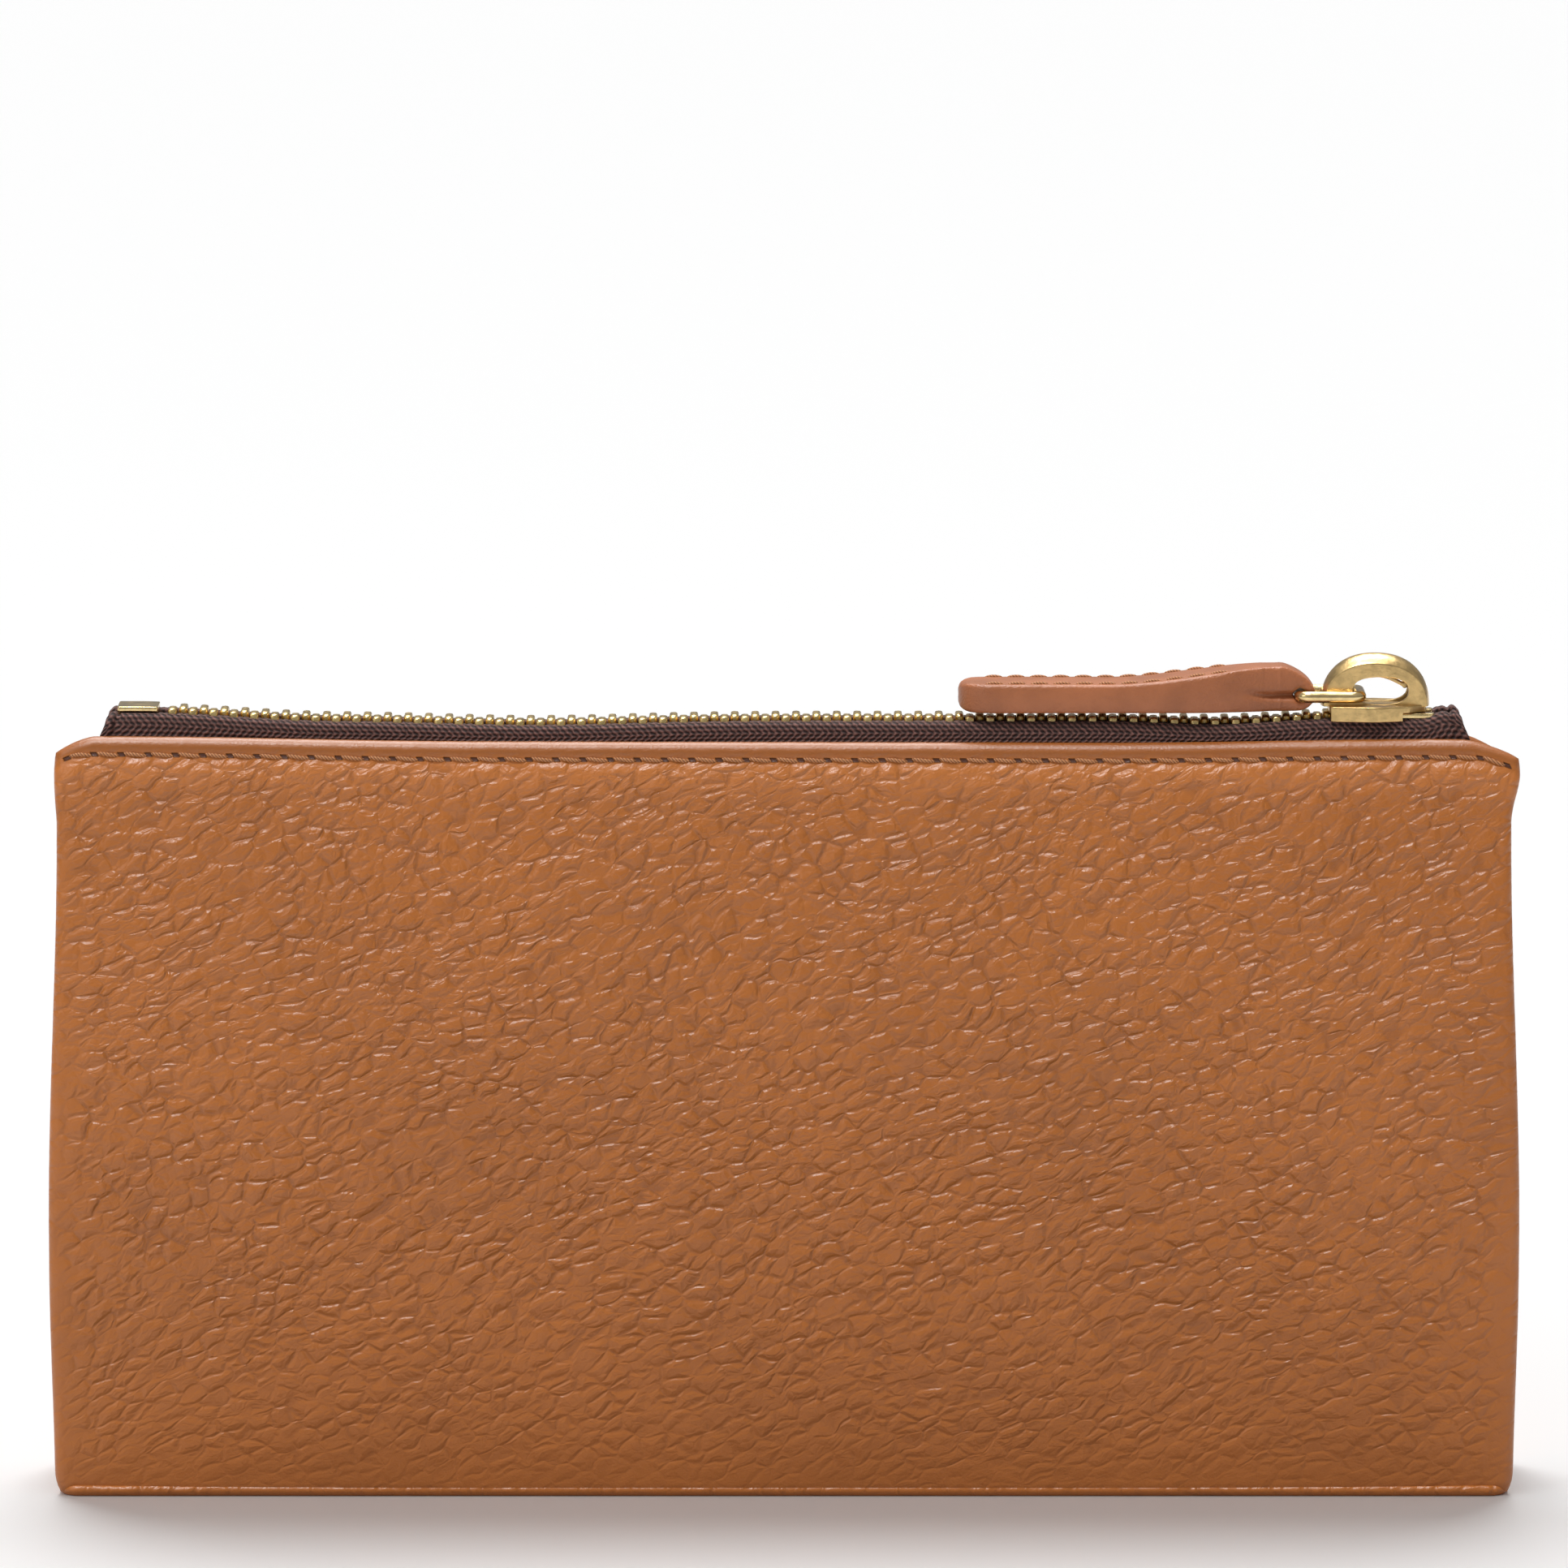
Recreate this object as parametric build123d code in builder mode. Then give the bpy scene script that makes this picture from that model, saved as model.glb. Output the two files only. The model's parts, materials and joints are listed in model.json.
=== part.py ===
from build123d import *
import os

# Long zip-top wallet standing on its base, in millimetres. +X runs along the length towards the end
# where the closed slider stops, the front face looks towards -Y, and +Z is up. The origin is on the
# underside of the base, in the middle. The front half and the base are fixed. The rear half turns about
# the crease along its lower edge when the slider runs back and lets the mouth open.

os.makedirs("parts", exist_ok=True)

# Overall size
HALF_LENGTH = 95.0
HALF_DEPTH = 12.5
TOP_Z = 97.6
KNEE_Z = 62.0          # above this height the two faces lean together
TOP_HALF_DEPTH = 7.2

# Thickness of the layers of a half, counted inwards from its outer face
LEATHER = 1.4
BOARD = 0.5
LINING = 0.3
CARD_LEATHER = 0.5
TURNED_EDGE = 1.2
BOARD_FACE = LEATHER + BOARD
LINING_FACE = BOARD_FACE + LINING
TURN_FACE = LEATHER + TURNED_EDGE

# Heights and lengths of the layers
BOARD_LOW = 4.0
BOARD_HIGH = 86.5
TURN_LOW = 87.0
BOARD_HALF_LENGTH = 90.5
LINING_HALF_LENGTH = 90.0
CARD_HALF_LENGTH = 87.0
CARD_LOW = 4.6
CARD_TOPS = (81.0, 70.0, 59.0, 48.0)
PANEL_CORNER = 3.0
TOP_CORNER_DROP = 2.8
TOP_CORNER_RUN = 6.2
BASE_CORNER_RUN = 2.0
BASE_CORNER_RISE = 4.0
BULGE_Z = 38.0         # the ends stand straight up to here, then draw in towards the zip
PINCH_Z = 86.0
PINCH = 1.2            # how far each end is drawn in at the pinch
TOP_PINCH = 0.8
TOP_EDGE_ROUND = 1.1

# Crease where the rear half joins the base
CREASE_GAP = 0.3
CREASE_Y = HALF_DEPTH - LEATHER / 2
CREASE_Z = LEATHER + CREASE_GAP + LEATHER / 2
BASE_HALF_LENGTH = 94.0
BASE_CORNER = 3.0
BASE_EDGE_ROUND = 1.2
BASE_BOARD_HALF_DEPTH = 7.5

# Centre pocket
POCKET_INNER = 2.8
POCKET_WALL = 0.7
POCKET_OUTER = POCKET_INNER + POCKET_WALL
POCKET_HALF_LENGTH = 79.0
POCKET_SEAM = 3.0
POCKET_TOP = 84.0
POCKET_Z = LEATHER + BOARD + LINING + CREASE_GAP + POCKET_OUTER

# Side gussets, folded inwards
GUSSET = 0.6
GUSSET_OUT = 91.0
GUSSET_IN = 84.5
GUSSET_LOW = 4.2
GUSSET_HIGH = 85.5
GUSSET_CLEAR = 0.15

# Metal zip chain
CHAIN_Z = 100.0
CHAIN_HALF_HEIGHT = 1.0
TOOTH_PITCH = 2.64
TOOTH_THICK = 1.24
TOOTH_REACH = 0.75     # how far a head passes the middle of the chain
TOOTH_OUT = 2.88
TOOTH_ROUND = 0.3
TEETH_PER_ROW = 59
TEETH_MID_X = -1.75
TAPE = 0.5
TAPE_SLOT = 0.68
TAPE_IN = 1.9
TAPE_BEND = 3.6
TAPE_LOW = 88.0
TAPE_EXIT_Z = 96.4
TAPE_DEPTH = TURN_FACE + 0.3
TAPE_HALF_LENGTH = 88.0
STOP_LONG = 5.2
STOP_WIDE = 2.0
STOP_WEB = 0.5
TOP_STOP_X = 81.3
TOP_STOP_Y = 2.25
BOTTOM_STOP_X = -83.4

# Seam along the top edge
STITCH_PITCH = 3.5
STITCH_LONG = 2.6
STITCH_WIDE = 0.6
STITCH_PROUD = 0.3
STITCH_Z = 95.0
STITCHES = 50

# Slider
SLIDER_X = (70.3, 76.3, 80.6, 82.9)
SLIDER_HALF_WIDTHS = (4.3, 5.0, 3.9, 1.8)
SLIDER_CORNER = 0.8
PLATE = 0.9
PLATE_GAP = 0.12
LOWER_HALF_WIDTH = 3.0
FLANGE_IN = 4.1
FLANGE_LOW_Z = 100.05
POST_X = (77.4, 79.4, 81.6)
POST_HALF_WIDTH = 0.9
CROWN_X = (70.7, 82.3)
CROWN_HALF_WIDTH = 2.3
CROWN_WALL = 0.6
CROWN_TOP_Z = 107.4
CROWN_ARCH = 4.4
WINDOW_X = (73.4, 80.5)
WINDOW_Z = (102.25, 105.3)
WINDOW_CORNER = 1.4

# Spring pawl inside the crown
PAWL_HALF_WIDTH = 0.6
PAWL_THICK = 0.5
PAWL_PIVOT = (80.2, 104.4)
PAWL_LEG_X = 72.7
PAWL_LEG = 0.7
PAWL_LEG_LOW_Z = 101.2
PAWL_HOLE_LONG = 1.5
PAWL_HOLE_WIDE = 1.6
PAWL_EYE = 0.42

# Pull ring and leather tab
WIRE = 0.75
RING_BAR_X = 74.4
RING_TAB_X = 66.65
RING_Z = 103.2
RING_HALF_WIDTH = 3.55
RING_CORNER = 1.1
TAB_LEFT_X = 22.5
TAB_SHOULDER_X = 64.0
TAB_LOW_Z = 101.15
TAB_HIGH_Z = 104.85
TAB_HALF_WIDTH = 4.6
TAB_NECK_HALF_WIDTH = 2.3
TAB_EYE = 0.87
TAB_LOOP = 2.0
TAB_RISE = 0.3         # the folded strap swells towards the loop
TAB_RISE_RUN = 8.0
TAB_TAPER = 2.0
TAB_END_ROUND = 4.1
TAB_STITCHES = 9
TAB_SEAM_X = (20.5, 56.0)
TAB_STITCH_Y = 3.2

FRONT = -1
REAR = 1


def save(builder, label):
    """Label one finished piece and write it to its own file."""
    builder.part.label = label
    export_step(builder.part, f"parts/{label}.step")


def half_depth(z):
    """Distance from the middle plane to the outer face of a half at height z."""
    lean = (HALF_DEPTH - TOP_HALF_DEPTH) / (TOP_Z - KNEE_Z)
    return HALF_DEPTH - max(0.0, z - KNEE_Z) * lean


def layer_outline(side, outer, inner, low, high):
    """Section of one layer in the YZ plane, between two depths below the outer face."""
    levels = [low, KNEE_Z, high] if low < KNEE_Z < high else [low, high]
    outside = [(side * (half_depth(z) - outer), z) for z in levels]
    inside = [(side * (half_depth(z) - inner), z) for z in reversed(levels)]
    return outside + inside


def panel_layer(side, outer, inner, low, high, half_length):
    """A flat layer of a half, cut to a rectangle with rounded corners."""
    with BuildPart() as layer:
        with BuildSketch(Plane.YZ):
            with BuildLine():
                Polyline(*layer_outline(side, outer, inner, low, high), close=True)
            make_face()
        extrude(amount=half_length, both=True)
        with BuildSketch(Plane.XZ):
            with Locations((0, (low + high) / 2)):
                RectangleRounded(2 * half_length, high - low, PANEL_CORNER)
        extrude(amount=HALF_DEPTH, both=True, mode=Mode.INTERSECT)
    return layer


def outer_leather(side, low):
    """One face of outer leather, its top edge turned in and down behind itself."""
    top = half_depth(TOP_Z)
    with BuildPart() as leather:
        with BuildSketch(Plane.YZ):
            with BuildLine():
                Polyline(
                    (side * half_depth(low), low),
                    (side * HALF_DEPTH, KNEE_Z),
                    (side * top, TOP_Z),
                    (side * (top - TURN_FACE), TOP_Z),
                    (side * (half_depth(TURN_LOW) - TURN_FACE), TURN_LOW),
                    (side * (half_depth(TURN_LOW) - LEATHER), TURN_LOW),
                    (side * (HALF_DEPTH - LEATHER), KNEE_Z),
                    (side * (HALF_DEPTH - LEATHER), low),
                    close=True,
                )
            rolled = make_face()
            fillet(rolled.vertices().group_by(Axis.Y)[-1], radius=TOP_EDGE_ROUND)
            if side == REAR:
                with Locations((side * CREASE_Y, low)):
                    Circle(LEATHER / 2)
        extrude(amount=HALF_LENGTH, both=True)
        with BuildSketch(Plane.XZ):
            with BuildLine():
                Polyline(
                    (0, 0),
                    (HALF_LENGTH - BASE_CORNER_RUN, 0),
                    (HALF_LENGTH, BASE_CORNER_RISE),
                    (HALF_LENGTH, BULGE_Z),
                    (HALF_LENGTH - PINCH, PINCH_Z),
                    (HALF_LENGTH - TOP_PINCH, TOP_Z - TOP_CORNER_DROP),
                    (HALF_LENGTH - TOP_PINCH - TOP_CORNER_RUN, TOP_Z),
                    (0, TOP_Z),
                    close=True,
                )
            make_face()
            mirror(about=Plane.YZ)
        extrude(amount=2 * HALF_DEPTH, both=True, mode=Mode.INTERSECT)
    return leather


def top_stitching(side):
    """Row of thread stitches standing proud of the leather, just below the turned edge."""
    low = STITCH_Z - STITCH_WIDE / 2
    high = STITCH_Z + STITCH_WIDE / 2
    with BuildPart() as seam:
        with BuildSketch(Plane.YZ):
            with BuildLine():
                Polyline(*layer_outline(side, -STITCH_PROUD, 0, low, high), close=True)
            make_face()
        extrude(amount=HALF_LENGTH, both=True)
        with BuildSketch(Plane.XZ):
            with Locations((0, STITCH_Z)):
                with GridLocations(STITCH_PITCH, 0, STITCHES, 1):
                    Rectangle(STITCH_LONG, STITCH_WIDE)
        extrude(amount=HALF_DEPTH, both=True, mode=Mode.INTERSECT)
    return seam


def zip_tape(side):
    """Woven tape from the chain out and down to the seam inside the leather's top edge."""
    with BuildPart() as tape:
        with BuildSketch(Plane.YZ):
            with BuildLine():
                Polyline(
                    (side * TAPE_IN, CHAIN_Z),
                    (side * TAPE_BEND, CHAIN_Z),
                    (side * (half_depth(TAPE_EXIT_Z) - TAPE_DEPTH), TAPE_EXIT_Z),
                    (side * (half_depth(TAPE_LOW) - TAPE_DEPTH), TAPE_LOW),
                )
            trace(line_width=TAPE)
        extrude(amount=TAPE_HALF_LENGTH, both=True)
    return tape


def zip_teeth(side):
    """One row of metal teeth. The rows are offset by half a pitch, so their heads pass each other."""
    width = TOOTH_OUT + TOOTH_REACH
    shift = TOOTH_PITCH / 4 * side
    with BuildPart() as row:
        with BuildSketch(Plane.XY.offset(CHAIN_Z - CHAIN_HALF_HEIGHT)):
            with Locations((TEETH_MID_X + shift, side * (TOOTH_OUT - TOOTH_REACH) / 2)):
                with GridLocations(TOOTH_PITCH, 0, TEETH_PER_ROW, 1):
                    RectangleRounded(TOOTH_THICK, width, TOOTH_ROUND)
        extrude(amount=2 * CHAIN_HALF_HEIGHT)
        # The legs straddle the edge of the tape
        slot_width = TOOTH_OUT - TAPE_IN + TAPE
        with BuildSketch(Plane.XY.offset(CHAIN_Z - TAPE_SLOT / 2)):
            with Locations((0, side * (TOOTH_OUT + TAPE_IN - TAPE) / 2)):
                Rectangle(2 * HALF_LENGTH, slot_width)
        extrude(amount=TAPE_SLOT, mode=Mode.SUBTRACT)
    return row


def top_stop(side):
    """Folded metal stop clamped on the tape, which the slider runs up against."""
    with BuildPart() as stop:
        with BuildSketch(Plane.XY.offset(CHAIN_Z - CHAIN_HALF_HEIGHT)):
            with Locations((TOP_STOP_X, side * TOP_STOP_Y)):
                RectangleRounded(STOP_LONG, STOP_WIDE, TOOTH_ROUND)
        extrude(amount=2 * CHAIN_HALF_HEIGHT)
        with BuildSketch(Plane.XY.offset(CHAIN_Z - TAPE_SLOT / 2)):
            with Locations((TOP_STOP_X, side * (TOP_STOP_Y + STOP_WEB))):
                Rectangle(2 * STOP_LONG, STOP_WIDE)
        extrude(amount=TAPE_SLOT, mode=Mode.SUBTRACT)
    return stop


def pocket_wall(side):
    """One wall of the centre pocket."""
    with BuildPart() as wall:
        with BuildSketch(Plane.XZ.offset(-side * (POCKET_INNER + POCKET_WALL / 2))):
            with Locations((0, (POCKET_Z + POCKET_TOP) / 2)):
                Rectangle(2 * POCKET_HALF_LENGTH, POCKET_TOP - POCKET_Z)
        extrude(amount=POCKET_WALL / 2, both=True)
    return wall


def pocket_seam(end):
    """Strip that closes one end of the centre pocket."""
    middle = end * (POCKET_HALF_LENGTH - POCKET_SEAM / 2)
    with BuildPart() as seam:
        with BuildSketch(Plane.XY.offset(POCKET_Z)):
            with Locations((middle, 0)):
                Rectangle(POCKET_SEAM, 2 * POCKET_INNER)
        extrude(amount=POCKET_TOP - POCKET_Z)
    return seam


def gusset(end):
    """Side gusset, a sheet folded inwards between the linings of the two halves."""
    depth = HALF_DEPTH - LINING_FACE - GUSSET_CLEAR
    with BuildPart() as sheet:
        with BuildSketch(Plane.XY.offset(GUSSET_LOW)):
            with BuildLine():
                Polyline((end * GUSSET_OUT, -depth), (end * GUSSET_IN, 0), (end * GUSSET_OUT, depth))
            trace(line_width=GUSSET)
        extrude(amount=GUSSET_HIGH - GUSSET_LOW)
        # It narrows with the lean of the two faces
        with BuildSketch(Plane.YZ):
            with BuildLine():
                rear_edge = [(half_depth(z) - LINING_FACE - GUSSET_CLEAR, z) for z in (0, KNEE_Z, TOP_Z)]
                front_edge = [(-y, z) for y, z in reversed(rear_edge)]
                Polyline(*rear_edge, *front_edge, close=True)
            make_face()
        extrude(amount=HALF_LENGTH, both=True, mode=Mode.INTERSECT)
    return sheet


# The two halves, layer by layer
for half, side, leather_low in (("front", FRONT, LEATHER), ("rear", REAR, CREASE_Z)):
    save(outer_leather(side, leather_low), f"outer_leather_{half}")
    board = panel_layer(side, LEATHER, BOARD_FACE, BOARD_LOW, BOARD_HIGH, BOARD_HALF_LENGTH)
    save(board, f"stiffener_board_{half}")
    lining = panel_layer(side, BOARD_FACE, LINING_FACE, BOARD_LOW, BOARD_HIGH, LINING_HALF_LENGTH)
    save(lining, f"lining_{half}")
    for index, card_top in enumerate(CARD_TOPS):
        face = LINING_FACE + index * CARD_LEATHER
        tier = panel_layer(side, face, face + CARD_LEATHER, CARD_LOW, card_top, CARD_HALF_LENGTH)
        save(tier, f"card_slot_{half}_{index + 1}")
    save(top_stitching(side), f"top_stitching_{half}")
    save(zip_tape(side), f"zip_tape_{half}")
    save(zip_teeth(side), f"zip_teeth_{half}")
    save(top_stop(side), f"top_stop_{half}")

# Base of the wallet: outer leather, board and lining
with BuildPart() as outer_leather_base:
    with BuildSketch(Plane.XY):
        RectangleRounded(2 * BASE_HALF_LENGTH, 2 * HALF_DEPTH, BASE_CORNER)
    extrude(amount=LEATHER)
    fillet(outer_leather_base.faces().sort_by(Axis.Z)[0].edges(), radius=BASE_EDGE_ROUND)
save(outer_leather_base, "outer_leather_base")

with BuildPart() as stiffener_board_base:
    with BuildSketch(Plane.XY.offset(LEATHER)):
        RectangleRounded(2 * BOARD_HALF_LENGTH, 2 * BASE_BOARD_HALF_DEPTH, PANEL_CORNER)
    extrude(amount=BOARD)
save(stiffener_board_base, "stiffener_board_base")

with BuildPart() as lining_base:
    with BuildSketch(Plane.XY.offset(BOARD_FACE)):
        RectangleRounded(2 * LINING_HALF_LENGTH, 2 * BASE_BOARD_HALF_DEPTH, PANEL_CORNER)
    extrude(amount=LINING)
save(lining_base, "lining_base")

save(gusset(-1), "gusset_left")
save(gusset(1), "gusset_right")

# Bar stop that joins the two rows at the far end of the zip
with BuildPart() as bottom_stop:
    with BuildSketch(Plane.XY.offset(CHAIN_Z - CHAIN_HALF_HEIGHT)):
        with Locations((BOTTOM_STOP_X, 0)):
            RectangleRounded(STOP_LONG, 2 * TOOTH_OUT, TOOTH_ROUND)
    extrude(amount=2 * CHAIN_HALF_HEIGHT)
    for side in (FRONT, REAR):
        with BuildSketch(Plane.XY.offset(CHAIN_Z - TAPE_SLOT / 2)):
            with Locations((BOTTOM_STOP_X, side * TOOTH_OUT)):
                Rectangle(2 * STOP_LONG, 2 * (TOOTH_OUT - TAPE_IN + TAPE / 2))
        extrude(amount=TAPE_SLOT, mode=Mode.SUBTRACT)
save(bottom_stop, "bottom_stop")

# Centre pocket: two walls, a round fold below and a seam at each end
save(pocket_wall(FRONT), "divider_wall_front")
save(pocket_wall(REAR), "divider_wall_rear")
save(pocket_seam(-1), "divider_seam_left")
save(pocket_seam(1), "divider_seam_right")
with BuildPart() as divider_base_fold:
    with BuildSketch(Plane.YZ):
        with Locations((0, POCKET_Z)):
            Circle(POCKET_OUTER)
            Circle(POCKET_INNER, mode=Mode.SUBTRACT)
        with Locations((0, POCKET_Z + POCKET_OUTER)):
            Rectangle(4 * POCKET_OUTER, 2 * POCKET_OUTER, mode=Mode.SUBTRACT)
    extrude(amount=POCKET_HALF_LENGTH, both=True)
save(divider_base_fold, "divider_base_fold")


def slider_outline(half_widths):
    """Plan of a slider plate: rounded shoulders and a blunt nose."""
    near = [(x, -w) for x, w in zip(SLIDER_X, half_widths)]
    far = [(x, w) for x, w in zip(SLIDER_X, half_widths)]
    with BuildSketch() as plan:
        with BuildLine():
            Polyline(*near, *reversed(far), close=True)
        make_face()
        fillet(plan.vertices(), radius=SLIDER_CORNER)
    return plan.sketch


# Slider body: two plates joined by a wedge-shaped post, with flanges that guide the chain
upper_low_z = CHAIN_Z + CHAIN_HALF_HEIGHT + PLATE_GAP
lower_high_z = CHAIN_Z - CHAIN_HALF_HEIGHT - PLATE_GAP
upper_plan = slider_outline(SLIDER_HALF_WIDTHS)
lower_plan = slider_outline([min(w, LOWER_HALF_WIDTH) for w in SLIDER_HALF_WIDTHS])
with BuildPart() as slider_body:
    with BuildSketch(Plane.XY.offset(FLANGE_LOW_Z)):
        add(upper_plan)
    extrude(amount=upper_low_z + PLATE - FLANGE_LOW_Z)
    with BuildSketch(Plane.XY.offset(FLANGE_LOW_Z)):
        Rectangle(4 * HALF_LENGTH, 2 * FLANGE_IN)
    extrude(amount=upper_low_z - FLANGE_LOW_Z, mode=Mode.SUBTRACT)
    with BuildSketch(Plane.XY.offset(lower_high_z - PLATE)):
        add(lower_plan)
    extrude(amount=PLATE)
    with BuildSketch(Plane.XY.offset(lower_high_z)):
        with BuildLine():
            Polyline(
                (POST_X[0], 0),
                (POST_X[1], -POST_HALF_WIDTH),
                (POST_X[2], -POST_HALF_WIDTH / 2),
                (POST_X[2], POST_HALF_WIDTH / 2),
                (POST_X[1], POST_HALF_WIDTH),
                close=True,
            )
        make_face()
    extrude(amount=upper_low_z - lower_high_z)
    with BuildSketch(Plane.XY.offset(upper_low_z)):
        with Locations((PAWL_LEG_X, 0)):
            Rectangle(PAWL_HOLE_LONG, PAWL_HOLE_WIDE)
    extrude(amount=PLATE, mode=Mode.SUBTRACT)
save(slider_body, "slider_body")

# Crown: an arched sheet cap over the pawl, with a window for the ring in each side
crown_low_z = upper_low_z + PLATE
with BuildPart() as slider_crown:
    with BuildSketch(Plane.XZ):
        with Locations(((CROWN_X[0] + CROWN_X[1]) / 2, (crown_low_z + CROWN_TOP_Z) / 2)):
            arch = Rectangle(CROWN_X[1] - CROWN_X[0], CROWN_TOP_Z - crown_low_z)
        fillet(arch.vertices().group_by(Axis.Y)[-1], radius=CROWN_ARCH)
    extrude(amount=CROWN_HALF_WIDTH, both=True)
    with BuildSketch(Plane.XZ):
        with Locations(((CROWN_X[0] + CROWN_X[1]) / 2, (crown_low_z + CROWN_TOP_Z) / 2 - CROWN_WALL)):
            hollow = Rectangle(CROWN_X[1] - CROWN_X[0] - 2 * CROWN_WALL, CROWN_TOP_Z - crown_low_z)
        fillet(hollow.vertices().group_by(Axis.Y)[-1], radius=CROWN_ARCH - CROWN_WALL)
    extrude(amount=CROWN_HALF_WIDTH - CROWN_WALL, both=True, mode=Mode.SUBTRACT)
    with BuildSketch(Plane.XZ):
        with Locations((sum(WINDOW_X) / 2, sum(WINDOW_Z) / 2)):
            RectangleRounded(WINDOW_X[1] - WINDOW_X[0], WINDOW_Z[1] - WINDOW_Z[0], WINDOW_CORNER)
    extrude(amount=2 * CROWN_HALF_WIDTH, both=True, mode=Mode.SUBTRACT)
save(slider_crown, "slider_crown")

# Pawl: a leaf with an eye at its pivot and a leg that drops through the upper plate
with BuildPart() as lock_pawl:
    with BuildSketch(Plane.XZ):
        with Locations(((PAWL_LEG_X + PAWL_PIVOT[0]) / 2, PAWL_PIVOT[1])):
            Rectangle(PAWL_PIVOT[0] - PAWL_LEG_X, PAWL_THICK)
        with Locations((PAWL_LEG_X, (PAWL_LEG_LOW_Z + PAWL_PIVOT[1] + PAWL_THICK / 2) / 2)):
            Rectangle(PAWL_LEG, PAWL_PIVOT[1] + PAWL_THICK / 2 - PAWL_LEG_LOW_Z)
        with Locations(PAWL_PIVOT):
            Circle(PAWL_EYE)
    extrude(amount=PAWL_HALF_WIDTH, both=True)
save(lock_pawl, "lock_pawl")

# Wire ring: its inner bar runs through the crown's window, its outer bar through the tab's fold
with BuildPart() as pull_ring:
    with BuildLine(Plane.XY.offset(RING_Z)) as ring_path:
        FilletPolyline(
            (RING_BAR_X, -RING_HALF_WIDTH),
            (RING_BAR_X, RING_HALF_WIDTH),
            (RING_TAB_X, RING_HALF_WIDTH),
            (RING_TAB_X, -RING_HALF_WIDTH),
            radius=RING_CORNER,
            close=True,
        )
    with BuildSketch(Plane(origin=ring_path.line @ 0, z_dir=ring_path.line % 0)):
        Circle(WIRE)
    sweep()
save(pull_ring, "pull_ring")

# Pull tab: thick folded leather, narrowed to a loop round the ring's outer bar
with BuildPart() as pull_tab_leather:
    with BuildSketch(Plane.XZ):
        with BuildLine():
            Polyline(
                (TAB_LEFT_X, TAB_LOW_Z),
                (RING_TAB_X, RING_Z - TAB_LOOP),
                (RING_TAB_X, RING_Z + TAB_LOOP),
                (TAB_SHOULDER_X, TAB_HIGH_Z + TAB_RISE),
                (TAB_SHOULDER_X - TAB_RISE_RUN, TAB_HIGH_Z),
                (TAB_LEFT_X, TAB_HIGH_Z),
                close=True,
            )
        make_face()
        with Locations((RING_TAB_X, RING_Z)):
            Circle(TAB_LOOP)
            Circle(TAB_EYE, mode=Mode.SUBTRACT)
    extrude(amount=TAB_HALF_WIDTH, both=True)
    with BuildSketch(Plane.XY):
        with BuildLine():
            Polyline(
                (TAB_LEFT_X, -TAB_HALF_WIDTH),
                (TAB_SHOULDER_X - TAB_TAPER, -TAB_HALF_WIDTH),
                (TAB_SHOULDER_X, -TAB_NECK_HALF_WIDTH),
                (RING_BAR_X, -TAB_NECK_HALF_WIDTH),
                (RING_BAR_X, TAB_NECK_HALF_WIDTH),
                (TAB_SHOULDER_X, TAB_NECK_HALF_WIDTH),
                (TAB_SHOULDER_X - TAB_TAPER, TAB_HALF_WIDTH),
                (TAB_LEFT_X, TAB_HALF_WIDTH),
                close=True,
            )
        plan = make_face()
        fillet(plan.vertices().group_by(Axis.X)[0], radius=TAB_END_ROUND)
    extrude(amount=2 * CHAIN_Z, mode=Mode.INTERSECT)
save(pull_tab_leather, "pull_tab_leather")

with BuildPart() as pull_tab_stitching:
    with BuildSketch(Plane.XY.offset(TAB_HIGH_Z)):
        with Locations((sum(TAB_SEAM_X) / 2, 0)):
            with GridLocations(STITCH_PITCH, 2 * TAB_STITCH_Y, TAB_STITCHES, 2):
                Rectangle(STITCH_LONG, STITCH_WIDE)
    extrude(amount=STITCH_PROUD)
save(pull_tab_stitching, "pull_tab_stitching")
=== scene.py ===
import json
import math

import bmesh
import bpy
import numpy as np
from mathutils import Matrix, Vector

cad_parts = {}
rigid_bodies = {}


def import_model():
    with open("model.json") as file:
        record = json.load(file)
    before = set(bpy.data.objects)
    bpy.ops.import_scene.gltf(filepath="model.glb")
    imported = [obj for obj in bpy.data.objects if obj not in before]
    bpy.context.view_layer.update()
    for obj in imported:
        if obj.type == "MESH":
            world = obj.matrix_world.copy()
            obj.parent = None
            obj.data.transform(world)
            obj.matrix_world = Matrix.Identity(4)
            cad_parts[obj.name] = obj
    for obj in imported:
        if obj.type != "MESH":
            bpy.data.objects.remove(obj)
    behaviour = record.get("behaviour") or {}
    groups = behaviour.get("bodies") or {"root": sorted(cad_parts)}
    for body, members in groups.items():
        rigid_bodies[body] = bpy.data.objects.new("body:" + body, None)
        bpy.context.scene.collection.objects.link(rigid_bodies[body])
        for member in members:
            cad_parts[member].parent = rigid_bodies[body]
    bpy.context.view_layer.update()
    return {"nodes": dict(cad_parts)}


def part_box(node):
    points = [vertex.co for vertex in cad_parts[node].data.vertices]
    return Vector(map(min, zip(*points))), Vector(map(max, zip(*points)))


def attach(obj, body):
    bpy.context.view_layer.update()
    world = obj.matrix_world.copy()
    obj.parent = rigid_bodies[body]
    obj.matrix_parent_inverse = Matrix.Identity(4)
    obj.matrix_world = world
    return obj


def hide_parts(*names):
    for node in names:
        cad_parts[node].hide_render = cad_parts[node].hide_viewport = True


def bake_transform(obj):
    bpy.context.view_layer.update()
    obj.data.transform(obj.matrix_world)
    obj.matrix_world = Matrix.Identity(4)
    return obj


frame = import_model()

# A long zip-top wallet standing on its base. Lengths are in millimetres and become metres in new_mesh().
# The closed zip's slider is at the +X end, the front face looks towards -Y, and +Z is up.
MM = 0.001


def box_mm(node):
    """Lowest and highest corners of a frame node, in millimetres."""
    return [np.array(corner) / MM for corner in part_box(node)]


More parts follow.
